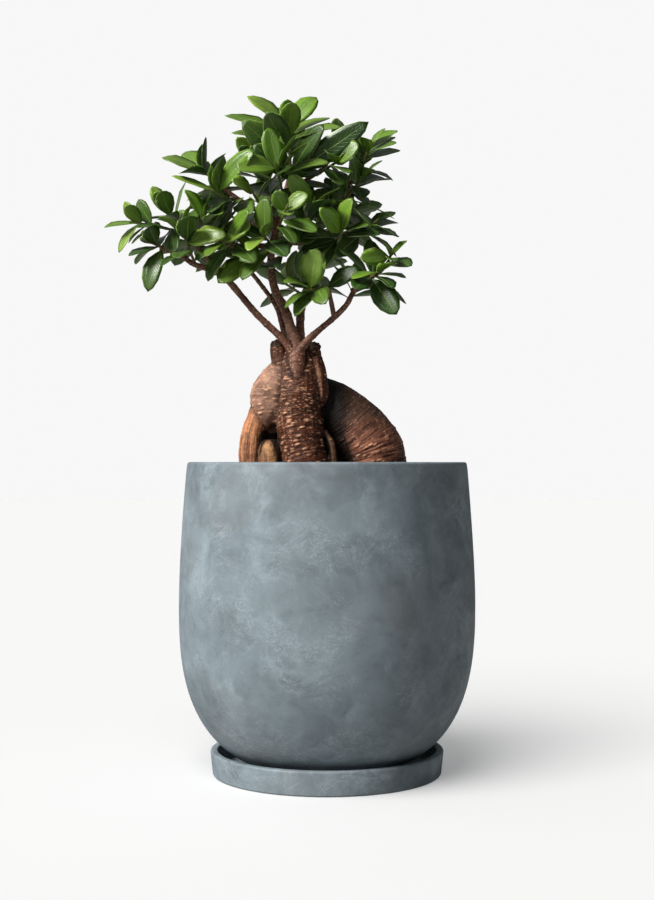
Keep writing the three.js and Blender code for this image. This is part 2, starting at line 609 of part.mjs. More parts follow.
const rootstock = (extra) =>
  joined(Object.values(ROOTS).map((stations) => limb(stations, ROOT_SIDES, 1, extra)));
const rootsWithRoom = rootstock(GAP);
add(plant, "potting_soil", soilGeometry(rootsWithRoom.translate([0, 0, RIM_HEIGHT])), SOIL);
add(tree, "rootstock", toGeometry(rootstock(0)), BARK);

let wood = rootsWithRoom;
for (const [name, stations] of Object.entries(BRANCHES)) {
  const trimmed = mainBody(limb(stations, BRANCH_SIDES, 1).subtract(wood));
  add(tree, name, toGeometry(trimmed), TWIG_BARK);
  wood = wood.add(limb(stations, BRANCH_SIDES, 1, GAP));
}

// A spray is cut back, with a gap, where it would still run into the wood or into a spray before it.
const earlier = [wood];
for (const [name, places] of Object.entries(layOutLeaves(wood))) {
  const spray = joined([shoot(SPRAYS[name]), ...places.map(leafSolid)]);
  const inTheWay = earlier.filter((other) => overlaps(spray, [other]));
  const trimmed = inTheWay.reduce((left, other) => left.subtract(other), spray);
  add(tree, `leaf_spray_${name}`, toGeometry(mainBody(trimmed)), LEAF);
  earlier.push(shoot(SPRAYS[name], GAP));
  earlier.push(...places.map((place) => leafRoom(place, LEAF_KEEL + 2 * GAP, LEAF_STATIONS)));
}

export default plant;
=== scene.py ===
# %% [markdown]
# # A grafted fig bonsai in a cement-look pot
#
# The plant is a ginseng fig: a swollen rootstock that has been lifted half out of the soil, cut off flat, and grafted
# with small-leaved branches. It stands in a bellied pot on a round saucer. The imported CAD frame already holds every
# piece at its true size and place. This file only makes the looks: finer surfaces over the same places, and materials.
#
# Everything is in metres. The origin is under the middle of the saucer, and the front of the plant faces -Y.

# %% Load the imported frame
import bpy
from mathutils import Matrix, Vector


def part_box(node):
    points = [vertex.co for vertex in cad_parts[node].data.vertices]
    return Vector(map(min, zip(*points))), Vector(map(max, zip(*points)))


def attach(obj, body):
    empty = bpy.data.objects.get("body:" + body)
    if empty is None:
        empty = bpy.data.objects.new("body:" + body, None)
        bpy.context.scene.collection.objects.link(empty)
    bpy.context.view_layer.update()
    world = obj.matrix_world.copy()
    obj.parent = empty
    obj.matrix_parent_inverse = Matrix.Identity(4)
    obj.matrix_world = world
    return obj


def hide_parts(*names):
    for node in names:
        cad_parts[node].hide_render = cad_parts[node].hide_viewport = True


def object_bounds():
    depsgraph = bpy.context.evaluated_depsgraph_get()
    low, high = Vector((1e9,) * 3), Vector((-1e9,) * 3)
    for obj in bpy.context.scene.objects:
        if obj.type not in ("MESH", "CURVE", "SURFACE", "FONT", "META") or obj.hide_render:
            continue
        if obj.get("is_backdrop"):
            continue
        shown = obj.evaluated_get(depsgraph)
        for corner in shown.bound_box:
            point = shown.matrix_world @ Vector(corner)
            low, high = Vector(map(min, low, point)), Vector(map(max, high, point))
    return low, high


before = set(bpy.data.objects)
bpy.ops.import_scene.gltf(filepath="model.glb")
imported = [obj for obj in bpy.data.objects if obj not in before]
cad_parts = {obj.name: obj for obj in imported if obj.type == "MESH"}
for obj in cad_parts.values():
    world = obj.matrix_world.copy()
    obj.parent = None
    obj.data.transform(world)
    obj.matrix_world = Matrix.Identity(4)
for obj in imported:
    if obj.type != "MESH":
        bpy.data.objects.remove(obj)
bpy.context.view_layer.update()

# %% Tools that every later cell uses
import math

import bmesh
import bpy
import numpy as np
from mathutils import Vector
from mathutils.bvhtree import BVHTree

MM = 0.001
SEED = 7
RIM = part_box("pot")[1].z
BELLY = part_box("pot")[1].x
print("rim height:", round(RIM, 4), "belly radius:", round(BELLY, 4))

# %% [markdown]
# ## Node trees as short code
#
# Shader trees and Geometry Nodes trees are built the same way: add a node, set its properties, and give each input
# either a value or another node's output. One helper does all three, so that a tree reads from top to bottom like a
# recipe.

# %% A helper that adds one node
def add(tree, kind, inputs=None, **properties):
    """Add a node, set its properties, then fill its inputs with values or links."""
    made = tree.nodes.new(kind)
    for key, value in properties.items():
        setattr(made, key, value)
    for key, value in (inputs or {}).items():
        socket = made.inputs[key]
        if isinstance(value, bpy.types.NodeSocket):
            tree.links.new(value, socket)
        else:
            socket.default_value = value
    return made


def calc(tree, operation, *values, clamp=False):
    """A Math node's result. A third value meets the result of the first two in a node of its own, and so on."""
    made = add(tree, "ShaderNodeMath", dict(enumerate(values[:2])), operation=operation, use_clamp=clamp).outputs[0]
    return calc(tree, operation, made, *values[2:], clamp=clamp) if values[2:] else made


def times(tree, *values):
    """The product of numbers."""
    return calc(tree, "MULTIPLY", *values)


def centred(tree, value):
    """A number from 0 to 1, moved so that it lies round 0."""
    return calc(tree, "SUBTRACT", value, 0.5)


def vector(tree, operation, *values):
    """A Vector Math node's vector."""
    return add(tree, "ShaderNodeVectorMath", dict(enumerate(values)), operation=operation).outputs["Vector"]


def scaled(tree, direction, amount):
    """A vector times a number."""
    return add(tree, "ShaderNodeVectorMath", {0: direction, "Scale": amount}, operation="SCALE").outputs["Vector"]


def ramp(tree, value, low, high, to_low=0.0, to_high=1.0):
    """A number carried smoothly from one range to another and held at its ends."""
    sockets = {"Value": value, "From Min": low, "From Max": high, "To Min": to_low, "To Max": to_high}
    return add(tree, "ShaderNodeMapRange", sockets, interpolation_type="SMOOTHSTEP").outputs["Result"]


FACTOR, FIRST_COLOUR, SECOND_COLOUR, MIXED_COLOUR = 0, 6, 7, 2  # a Mix node's sockets, which share their names


def blend(tree, share, first, second):
    """One colour laid over another by a share."""
    sockets = {FACTOR: share, FIRST_COLOUR: first, SECOND_COLOUR: second}
    return add(tree, "ShaderNodeMix", sockets, data_type="RGBA").outputs[MIXED_COLOUR]


def noise(tree, place, scale, detail=4.0, roughness=0.55):
    """Soft three-dimensional noise from 0 to 1."""
    sockets = {"Vector": place, "Scale": scale, "Detail": detail, "Roughness": roughness}
    return add(tree, "ShaderNodeTexNoise", sockets, noise_dimensions="3D").outputs["Fac"]


def rgb(red, green, blue):
    """A colour given as screen values from 0 to 255, made linear."""
    return tuple(((c / 255 + 0.055) / 1.055) ** 2.4 if c > 10 else c / 3294.6 for c in (red, green, blue)) + (1.0,)


print("node helpers ready")

# %% [markdown]
# ## Camera, floor and light
#
# The plant stands on a plain pale floor that runs on into a plain pale background. The camera is level with the pot's
# rim, so the rim shows as a straight line and the saucer is seen from above. A level camera with a small vertical
# shift keeps the pot's sides upright, which tilting the camera would not.
#
# The key light is one large soft source high on the left, so that leaves shine on their left side and the pot darkens
# evenly to the right. On a floor it would throw a long hard shadow across the picture. A studio hides that with flags
# and cards: here light linking keeps the key off the floor, and a second sun lights the floor alone, from further
# round to the front, so that a short pale shadow falls back and to the right. Away from the camera's own rays the
# floor is darker, as a black card under the set would make it, and the pot's right side stays deep. A faint glow
# keeps the floor's shadow pale.

# %% Camera, level with the rim
CAMERA_DISTANCE = 1.2415
LENS, SENSOR_WIDTH = 58.6, 36.0  # in millimetres
SHIFT = 12 / 900  # of the picture's height, which puts the rim just below the middle

camera_data = bpy.data.cameras.new("camera")
camera_data.lens = LENS
camera_data.sensor_width = SENSOR_WIDTH
camera_data.shift_y = SHIFT
camera = bpy.data.objects.new("camera", camera_data)
camera.location = (0.0, -CAMERA_DISTANCE, RIM)
camera.rotation_euler = (math.radians(90), 0.0, 0.0)
bpy.context.scene.collection.objects.link(camera)
bpy.context.scene.camera = camera
print("camera", LENS, "mm at", round(CAMERA_DISTANCE, 3), "m")

# %% Floor and world
BACKGROUND = 0.935
AMBIENT = 0.25
AMBIENT_LEFT, AMBIENT_RIGHT = 1.7, 0.45  # the left gives more of it than the right
FLOOR_REACH = 9
FLOOR_GLOW = 0.24
FLOOR_SEEN, FLOOR_UNSEEN = (0.745, 0.748, 0.75, 1), (0.46, 0.46, 0.46, 1)
BLACK, WHITE, COOL_WHITE = (0, 0, 0, 1), (1, 1, 1, 1), (0.96, 0.98, 1, 1)

corners = [(-FLOOR_REACH, -FLOOR_REACH, 0), (FLOOR_REACH, -FLOOR_REACH, 0), (FLOOR_REACH, FLOOR_REACH, 0),
           (-FLOOR_REACH, FLOOR_REACH, 0)]
floor_mesh = bpy.data.meshes.new("floor")
floor_mesh.from_pydata(corners, [], [(0, 1, 2, 3)])
floor = bpy.data.objects.new("floor", floor_mesh)
bpy.context.scene.collection.objects.link(floor)
floor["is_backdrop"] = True

paper = bpy.data.materials.new("pale_floor")
paper.use_nodes = True
sheet = paper.node_tree
sheet_shader = sheet.nodes["Principled BSDF"]
sheet_shader.inputs["Roughness"].default_value = 1.0
sheet_shader.inputs["Specular IOR Level"].default_value = 0.0
seen_by_camera = add(sheet, "ShaderNodeLightPath").outputs["Is Camera Ray"]
sheet.links.new(blend(sheet, seen_by_camera, FLOOR_UNSEEN, FLOOR_SEEN), sheet_shader.inputs["Base Color"])
sheet.links.new(blend(sheet, seen_by_camera, BLACK, WHITE), sheet_shader.inputs["Emission Color"])
sheet_shader.inputs["Emission Strength"].default_value = FLOOR_GLOW
floor_mesh.materials.append(paper)

world = bpy.data.worlds.new("studio")
bpy.context.scene.world = world
world.use_nodes = True
sky = world.node_tree
sky.nodes.clear()
seen = add(sky, "ShaderNodeBackground", {"Color": WHITE, "Strength": BACKGROUND})
around = add(sky, "ShaderNodeTexCoord").outputs["Generated"]
rightward = add(sky, "ShaderNodeSeparateXYZ", {0: around}).outputs[0]
strength = times(sky, ramp(sky, rightward, -1.0, 0.6, AMBIENT_LEFT, AMBIENT_RIGHT), AMBIENT)
lit = add(sky, "ShaderNodeBackground", {"Color": COOL_WHITE, "Strength": strength})
ray = add(sky, "ShaderNodeLightPath").outputs["Is Camera Ray"]
both = add(sky, "ShaderNodeMixShader", {0: ray, 1: lit.outputs[0], 2: seen.outputs[0]})
add(sky, "ShaderNodeOutputWorld", {0: both.outputs[0]})
print("floor and world ready")

# %% One soft key for the plant, one soft sun for the floor
WARM_WHITE = (1.0, 0.985, 0.96)


def soft_sun(name, towards, strength, width, floor_state):
    """A wide sun for soft shadows, linked so that it lights only the floor, or all but the floor."""
    data = bpy.data.lights.new(name, "SUN")
    data.energy = strength
    data.angle = math.radians(width)
    data.color = WARM_WHITE
    lamp = bpy.data.objects.new(name, data)
    lamp.rotation_euler = Vector(towards).to_track_quat("-Z", "Y").to_euler()
    bpy.context.scene.collection.objects.link(lamp)
    lit_by_it = bpy.data.collections.new(name + "_lights")
    lit_by_it.objects.link(floor)
    lit_by_it.collection_objects[0].light_linking.link_state = floor_state
    lamp.light_linking.receiver_collection = lit_by_it


soft_sun("key", towards=(0.73, 0.51, -0.76), strength=4.5, width=24, floor_state="EXCLUDE")
soft_sun("floor_sun", towards=(0.47, 0.67, -1.18), strength=2.74, width=44, floor_state="INCLUDE")
bpy.context.scene.view_settings.view_transform = "Standard"
print("lights ready")

# %% [markdown]
# ## Effects that several finishes share
#
# Cement, soil, bark and leaves all need a few of the same effects: soft clouds of a second colour, and fine specks.
# Each effect is one node group with named inputs, built once and placed in every material that needs it with that
# material's own values. The groups give out masks only. The shader itself stays in the material.

# %% Helpers for node groups and materials
def effect(name, inputs, outputs):
    """An empty shader node group; returns it with its input values and its output sockets."""
    tree = bpy.data.node_groups.new(name, "ShaderNodeTree")
    for label, default in inputs.items():
        kind = "NodeSocketFloat" if isinstance(default, float) else "NodeSocketVector"
        tree.interface.new_socket(name=label, in_out="INPUT", socket_type=kind).default_value = default
    for label in outputs:
        tree.interface.new_socket(name=label, in_out="OUTPUT", socket_type="NodeSocketFloat")
    return tree, tree.nodes.new("NodeGroupInput").outputs, tree.nodes.new("NodeGroupOutput").inputs


def placed(tree, group, inputs):
    """A node group placed in a material with its own values; returns its outputs."""
    return add(tree, "ShaderNodeGroup", inputs, node_tree=group).outputs


def new_finish(name, roughness=0.6, specular=0.5):
    """A material with its tree and its shader, roughness and specular level set on the shader itself."""
    material = bpy.data.materials.new(name)
    material.use_nodes = True
    shader = material.node_tree.nodes["Principled BSDF"]
    shader.inputs["Roughness"].default_value = roughness
    shader.inputs["Specular IOR Level"].default_value = specular
    return material, material.node_tree, shader


def relief(tree, shader, height, distance, strength=1.0):
    """Fine relief that is too small for geometry, as a bump of a height from 0 to 1 times a distance in metres."""
    made = add(tree, "ShaderNodeBump", {"Height": height, "Distance": distance, "Strength": strength})
    tree.links.new(made.outputs["Normal"], shader.inputs["Normal"])


def object_place(tree):
    """Object coordinates, which are metres in the frame, since every piece stands at the origin."""
    return add(tree, "ShaderNodeTexCoord").outputs["Object"]


# %% Clouds and specks
def clouds_effect():
    """Soft clouds, pulled out of shape by a second noise so that no direction shows."""
    tree, given, out = effect("soft_clouds", {"Place": (0, 0, 0), "Scale": 10.0, "Pull": 0.5}, ["Clouds"])
    pull = add(tree, "ShaderNodeTexNoise", {"Vector": given["Place"], "Scale": given["Scale"], "Detail": 2.0})
    swing = vector(tree, "SUBTRACT", pull.outputs["Color"], (0.5, 0.5, 0.5))
    shift = scaled(tree, swing, calc(tree, "DIVIDE", given["Pull"], given["Scale"]))
    warped = vector(tree, "ADD", given["Place"], shift)
    tree.links.new(noise(tree, warped, given["Scale"], 7.0, 0.62), out["Clouds"])
    return tree


def specks_effect():
    """Scattered specks: round cells of which only a share is kept."""
    tree, given, out = effect(
        "fine_specks", {"Place": (0, 0, 0), "Scale": 900.0, "Size": 0.22, "Share": 0.3}, ["Specks"]
    )
    cells = add(tree, "ShaderNodeTexVoronoi", {"Vector": given["Place"], "Scale": given["Scale"]})
    kept = calc(tree, "LESS_THAN", add(tree, "ShaderNodeSeparateColor", {0: cells.outputs["Color"]}).outputs[0],
                given["Share"])
    round_speck = ramp(tree, cells.outputs["Distance"], 0.0, given["Size"], 1.0, 0.0)
    tree.links.new(times(tree, kept, round_speck), out["Specks"])
    return tree


CLOUDS = clouds_effect()
SPECKS = specks_effect()
print("effects:", CLOUDS.name, SPECKS.name)

# %% [markdown]
# ## The cement finish
#
# The pot and saucer are a cement mix that was wiped by hand with a thin pale wash. The wash dried in cloudy veils, and
# where the sponge turned it left short, curved, pale strokes that are broken up by the grain under them. So the colour
# is built in that order: a blue-grey body with slow paler and warmer clouds, then veils of wash, then strokes, and
# last a few dark pits. A stroke is a thin ridge of a warped noise, kept only inside patches. The paler clouds are also
# a little smoother than the rest, so the shine is as uneven as the colour.

# %% Sponge strokes
def strokes_effect():
    """Short curved strokes: thin ridges of a warped noise, inside patches, and broken up by fine grain."""
    tree, given, out = effect("sponge_strokes", {"Place": (0, 0, 0), "Scale": 60.0, "Cover": 0.5}, ["Strokes"])
    place = given["Place"]
    bend = add(tree, "ShaderNodeTexNoise", {"Vector": place, "Scale": 16.0, "Detail": 3.0}).outputs["Color"]
    curved = vector(tree, "ADD", place, scaled(tree, vector(tree, "SUBTRACT", bend, (0.5, 0.5, 0.5)), 0.07))
    drawn = vector(tree, "MULTIPLY", curved, (1.0, 1.0, 2.1))
    field = noise(tree, drawn, given["Scale"], 3.0, 0.6)
    ridge = ramp(tree, calc(tree, "ABSOLUTE", centred(tree, field)), 0.0, 0.085, 1.0, 0.0)
    patches = ramp(tree, noise(tree, place, 15.0, 3.0, 0.6), calc(tree, "SUBTRACT", 0.72, given["Cover"]), 0.68)
    grain = ramp(tree, noise(tree, place, 900.0, 3.0, 0.7), 0.36, 0.66)
    tree.links.new(times(tree, ridge, patches, grain), out["Strokes"])
    return tree


STROKES = strokes_effect()
print("effect:", STROKES.name)


# %% Cement material
def cement(name, shift, wash):
    """The wiped cement; shift moves the pattern, and wash is how much pale wash there is."""
    material, tree, shader = new_finish(name, 0.62, 0.42)
    place = vector(tree, "ADD", object_place(tree), shift)
    slow = placed(tree, CLOUDS, {"Place": place, "Scale": 14.0, "Pull": 1.2})["Clouds"]
    body = blend(tree, ramp(tree, slow, 0.38, 0.62), rgb(101, 112, 118), rgb(124, 137, 143))
    warm = ramp(tree, noise(tree, place, 9.0, 4.0, 0.6), 0.52, 0.7, 0.0, 0.5)
    body = blend(tree, warm, body, rgb(116, 118, 119))
    mottle = placed(tree, CLOUDS, {"Place": place, "Scale": 34.0, "Pull": 1.6})["Clouds"]
    body = blend(tree, ramp(tree, mottle, 0.36, 0.66, 0.0, 0.38), body, rgb(140, 154, 161))
    veil = placed(tree, CLOUDS, {"Place": place, "Scale": 21.0, "Pull": 1.8})["Clouds"]
    grain = noise(tree, place, 520.0, 5.0, 0.75)
    # Paler towards the rim: partly more wash there, and partly painted light, as the upper wall is lighter where the
    # light falls.
    height_here = add(tree, "ShaderNodeSeparateXYZ", {0: object_place(tree)}).outputs[2]
    near_rim = ramp(tree, height_here, RIM - 0.09, RIM)
    veil = calc(tree, "ADD", veil, times(tree, near_rim, 0.07))
    veil = times(tree, ramp(tree, veil, 0.5, 0.76, 0.0, wash), ramp(tree, grain, 0.3, 0.7, 0.45, 1.0))
    body = blend(tree, veil, body, rgb(168, 184, 193))
    strokes = placed(tree, STROKES, {"Place": place, "Scale": 42.0, "Cover": 0.3})["Strokes"]
    small = placed(tree, STROKES, {"Place": place, "Scale": 120.0, "Cover": 0.26})["Strokes"]
    drawn = calc(tree, "ADD", times(tree, strokes, 0.34), times(tree, small, 0.42), clamp=True)
    body = blend(tree, times(tree, drawn, wash), body, rgb(198, 211, 219))
    pits = placed(tree, SPECKS, {"Place": place, "Scale": 420.0, "Size": 0.3, "Share": 0.07})["Specks"]
    body = blend(tree, times(tree, pits, 0.45), body, rgb(58, 64, 67))
    tree.links.new(body, shader.inputs["Base Color"])
    tree.links.new(ramp(tree, mottle, 0.3, 0.7, 0.68, 0.54), shader.inputs["Roughness"])
    height = calc(tree, "SUBTRACT", calc(tree, "ADD", times(tree, grain, 0.5), mottle), pits)
    relief(tree, shader, height, 0.0005, 0.6)
    return material


POT_CEMENT = cement("wiped_cement_pot", (0.31, 0.12, 0.05), 0.62)
SAUCER_CEMENT = cement("wiped_cement_saucer", (0.62, 0.4, 0.33), 0.78)
print("cement finishes ready")

# %% [markdown]
# ## Pot and saucer
#
# Both were cast and turned, so each is one outline carried once round the axis. A Screw modifier would do that, but
# here the rings are written straight to a mesh: 176 steps round, the same outline rule as the CAD solid, and finer
# rings where the wall curves. The lips are rounded over, which gives the thin lit line along the rim. A hand-wiped pot
# isn't perfectly true, so its rings wander by a tenth of a millimetre or so.

# %% A turned mesh from an outline
STEPS_ROUND = 176


def turned_mesh(name, outline, closed, wander=0.0):
    """A mesh turned about the vertical axis from (radius, height) points; a radius of 0 is a pole."""
    verts, rings, faces = [], [], []
    for row, (radius, height) in enumerate(outline):
        if radius == 0:
            rings.append([len(verts)])
            verts.append((0.0, 0.0, height))
            continue
        rings.append(list(range(len(verts), len(verts) + STEPS_ROUND)))
        for k in range(STEPS_ROUND):
            angle = 2 * math.pi * k / STEPS_ROUND
            off = wander * math.sin(3 * angle + height * 31) * math.sin(2 * angle - height * 17 + 1)
            verts.append(((radius + off) * math.cos(angle), (radius + off) * math.sin(angle), height))
    pairs = list(zip(rings, rings[1:] + rings[:1])) if closed else list(zip(rings, rings[1:]))
    for low, high in pairs:
        for k in range(STEPS_ROUND):
            following = (k + 1) % STEPS_ROUND
            corners = [low[k % len(low)], low[following % len(low)], high[following % len(high)], high[k % len(high)]]
            faces.append(tuple(dict.fromkeys(corners)))
    mesh = bpy.data.meshes.new(name)
    mesh.from_pydata(verts, [], faces)
    mesh.shade_smooth()
    return mesh


def shown(name, mesh, finish, nodes):
    """Put a finished mesh in the scene, as the stand-in for its CAD nodes."""
    mesh.materials.clear()
    for material in finish if isinstance(finish, list) else [finish]:
        mesh.materials.append(material)
    piece = bpy.data.objects.new(name, mesh)
    bpy.context.scene.collection.objects.link(piece)
    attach(piece, "root")
    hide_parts(*nodes)
    print(name, "has", len(mesh.polygons), "faces")


# %% The pot's outline
RIM_RADIUS, BELLY_RADIUS, FOOT_RADIUS = 118 * MM, 125 * MM, 56 * MM
POT_HEIGHT, BELLY_DEPTH = 256 * MM, 117 * MM
POT_WALL, POT_FLOOR, DRAIN_RADIUS = 7 * MM, 9 * MM, 12 * MM
LIP_ROUND = 2.4 * MM
SHOULDER_POWER, BELLY_POWER = 1.5, 2.75


def bellied(depth, rim, belly, foot, foot_depth):
    """Radius of the wall at a depth below the rim."""
    if depth < BELLY_DEPTH:
        return belly - (belly - rim) * (1 - max(depth, 0) / BELLY_DEPTH) ** SHOULDER_POWER
    at_foot = (1 - (foot / belly) ** BELLY_POWER) ** (1 / BELLY_POWER)
    share = (depth - BELLY_DEPTH) / (foot_depth - BELLY_DEPTH) * at_foot
    return belly * (1 - share ** BELLY_POWER) ** (1 / BELLY_POWER)


def outside(depth):
    """Radius of the pot's outer face at a depth below the rim."""
    return bellied(depth, RIM_RADIUS, BELLY_RADIUS, FOOT_RADIUS, POT_HEIGHT)


def inside(depth):
    """Radius of the pot's inner face at a depth below the rim."""
    return bellied(depth, RIM_RADIUS - POT_WALL, BELLY_RADIUS - POT_WALL, FOOT_RADIUS - POT_WALL,
                   POT_HEIGHT - POT_FLOOR)


def rounded(radius, height, size, start, steps=6):
    """A quarter round in the outline's plane, anticlockwise from a start angle in degrees."""
    angles = [math.radians(start + 90 * i / steps) for i in range(steps + 1)]
    return [(radius + size * math.cos(a), height + size * math.sin(a)) for a in angles]


def wall(radius_at, depths):
    """Outline points of one face of the wall."""
    return [(radius_at(depth), RIM - depth) for depth in depths]


POT_BOTTOM = RIM - POT_HEIGHT
turn_in = [math.sin(a) for a in np.linspace(0, math.pi / 2, 34)]
lower_out = [BELLY_DEPTH + (POT_HEIGHT - BELLY_DEPTH) * share for share in turn_in]
lower_in = [BELLY_DEPTH + (POT_HEIGHT - POT_FLOOR - BELLY_DEPTH) * share for share in turn_in]
upper = list(np.linspace(0.05, 0.95, 16) * BELLY_DEPTH)
pot_outline = [
    (DRAIN_RADIUS, POT_BOTTOM), (FOOT_RADIUS * 0.6, POT_BOTTOM),
    *wall(outside, lower_out[::-1]), *wall(outside, upper[::-1]),
    *rounded(RIM_RADIUS - LIP_ROUND, RIM - LIP_ROUND, LIP_ROUND, 0),
    *rounded(RIM_RADIUS - POT_WALL + LIP_ROUND, RIM - LIP_ROUND, LIP_ROUND, 90),
    *wall(inside, upper), *wall(inside, lower_in),
    (FOOT_RADIUS * 0.5, POT_BOTTOM + POT_FLOOR), (DRAIN_RADIUS, POT_BOTTOM + POT_FLOOR),
]
pot_mesh = turned_mesh("cement_pot", pot_outline, True, 0.12 * MM)
shown("cement_pot", pot_mesh, POT_CEMENT, ["pot"])

# %% The saucer
SAUCER_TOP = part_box("saucer")[1].z
SAUCER_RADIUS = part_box("saucer")[1].x
SAUCER_WALL, SAUCER_FLOOR, SAUCER_EDGE = 6.5 * MM, 6 * MM, 1.8 * MM

saucer_inner = SAUCER_RADIUS - SAUCER_WALL
saucer_outline = [
    (0, 0), (SAUCER_RADIUS * 0.5, 0),
    *rounded(SAUCER_RADIUS - SAUCER_EDGE * 2, SAUCER_EDGE, SAUCER_EDGE, -90),
    *rounded(SAUCER_RADIUS - SAUCER_EDGE, SAUCER_TOP - SAUCER_EDGE, SAUCER_EDGE, 0),
    *rounded(saucer_inner + SAUCER_EDGE, SAUCER_TOP - SAUCER_EDGE, SAUCER_EDGE, 90),
    (saucer_inner - SAUCER_EDGE * 0.6, SAUCER_FLOOR + SAUCER_EDGE * 0.7), (saucer_inner - SAUCER_EDGE, SAUCER_FLOOR),
    (saucer_inner - SAUCER_EDGE * 3, SAUCER_FLOOR), (SAUCER_RADIUS * 0.4, SAUCER_FLOOR), (0, SAUCER_FLOOR),
]
saucer_mesh = turned_mesh("cement_saucer", saucer_outline, False, 0.08 * MM)
shown("cement_saucer", saucer_mesh, SAUCER_CEMENT, ["saucer"])

# %% [markdown]
# ## Net, gravel and soil
#
# Nothing of the net and gravel shows in daily use, but they are part of the model, and the shapes of the CAD solids
# are right. So they stay and get materials. The net is plain dark plastic with fine moulding grain. The gravel is
# drawn as pebbles: the cells of a Voronoi texture, each with its own colour, and its distance to the edge as relief.

# %% Materials for the net and the gravel
def net_plastic():
    """Dark plastic, paler and rougher where it is worn."""
    material, tree, shader = new_finish("net_plastic", 0.5)
    place = object_place(tree)
    worn = placed(tree, CLOUDS, {"Place": place, "Scale": 120.0, "Pull": 0.6})["Clouds"]
    tree.links.new(blend(tree, worn, rgb(30, 33, 31), rgb(58, 60, 57)), shader.inputs["Base Color"])
    tree.links.new(ramp(tree, worn, 0.3, 0.7, 0.42, 0.62), shader.inputs["Roughness"])
    relief(tree, shader, noise(tree, place, 1800.0, 2.0), 0.0001)
    return material


def pebbles():
    """Small stones drawn on the gravel bed, each with its own colour."""
    material, tree, shader = new_finish("river_pebbles", 0.85)
    place = object_place(tree)
    cells = add(tree, "ShaderNodeTexVoronoi", {"Vector": place, "Scale": 130.0, "Randomness": 0.9})
    edge = add(tree, "ShaderNodeTexVoronoi", {"Vector": place, "Scale": 130.0, "Randomness": 0.9},
               feature="DISTANCE_TO_EDGE").outputs["Distance"]
    pick = add(tree, "ShaderNodeSeparateColor", {0: cells.outputs["Color"]}).outputs
    stone = blend(tree, pick[0], rgb(140, 128, 112), rgb(92, 88, 84))
    stone = blend(tree, calc(tree, "GREATER_THAN", pick[1], 0.78), stone, rgb(176, 160, 138))
    stone = blend(tree, ramp(tree, noise(tree, place, 700.0), 0.35, 0.7, 0.0, 0.35), stone, rgb(66, 60, 54))
    tree.links.new(blend(tree, ramp(tree, edge, 0.0, 0.09), rgb(34, 29, 24), stone), shader.inputs["Base Color"])
    relief(tree, shader, ramp(tree, edge, 0.0, 0.35), 0.003)
    return material


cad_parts["drain_net"].material_slots[0].material = net_plastic()
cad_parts["drainage_gravel"].material_slots[0].material = pebbles()
print("net and gravel finished")

# %% [markdown]
# ## Potting soil
#
# The soil is a peaty mix with granules of fired clay and bits of bark lying on it. Its body is a turned mesh with a
# domed top that is roughened by noise. The loose granules repeat by the thousand, so Geometry Nodes scatter them over
# the top: points on the faces that look up, a small stone of 20 faces on each, turned and sized at random from a fixed
# seed. The tree ends by realising the instances, so that what is left is a plain mesh.

# %% Helpers that build and run a Geometry Nodes tree
def geometry_tree(name, inputs):
    """An empty tree with a geometry input and output and named inputs; returns it and both ends."""
    tree = bpy.data.node_groups.new(name, "GeometryNodeTree")
    tree.interface.new_socket(name="Geometry", in_out="INPUT", socket_type="NodeSocketGeometry")
    tree.interface.new_socket(name="Geometry", in_out="OUTPUT", socket_type="NodeSocketGeometry")
    for label, default in inputs.items():
        if default is None:
            tree.interface.new_socket(name=label, in_out="INPUT", socket_type="NodeSocketMaterial")
            continue
        kind = "NodeSocketInt" if isinstance(default, int) else "NodeSocketFloat"
        tree.interface.new_socket(name=label, in_out="INPUT", socket_type=kind).default_value = default
    return tree, tree.nodes.new("NodeGroupInput").outputs, tree.nodes.new("NodeGroupOutput").inputs[0]


def workpiece(name, data):
    """A temporary object that a modifier can run on."""
    made = bpy.data.objects.new(name, data)
    bpy.context.scene.collection.objects.link(made)
    return made


def plain_mesh(source):
    """What an object's modifiers make of it, as a plain mesh; the object is removed."""
    depsgraph = bpy.context.evaluated_depsgraph_get()
    mesh = bpy.data.meshes.new_from_object(source.evaluated_get(depsgraph), depsgraph=depsgraph)
    bpy.data.objects.remove(source)
    return mesh


def grown(source, tree, values):
    """What a Geometry Nodes tree makes of an object, as a plain mesh."""
    modifier = source.modifiers.new(tree.name, "NODES")
    modifier.node_group = tree
    for item in tree.interface.items_tree:
        if item.in_out == "INPUT" and item.name in values:
            modifier[item.identifier] = values[item.name]
    return plain_mesh(source)


# %% Soil and granule materials
def peat():
    """Dark crumbly peat, damp in places, with pale bits in it."""
    material, tree, shader = new_finish("peaty_soil", 0.95, 0.2)
    place = object_place(tree)
    damp = placed(tree, CLOUDS, {"Place": place, "Scale": 60.0, "Pull": 1.0})["Clouds"]
    body = blend(tree, ramp(tree, damp, 0.35, 0.65), rgb(34, 25, 19), rgb(66, 50, 38))
    bits = placed(tree, SPECKS, {"Place": place, "Scale": 500.0, "Size": 0.35, "Share": 0.25})["Specks"]
    tree.links.new(blend(tree, bits, body, rgb(104, 82, 60)), shader.inputs["Base Color"])
    relief(tree, shader, noise(tree, place, 600.0, 5.0, 0.7), 0.0015)
    return material


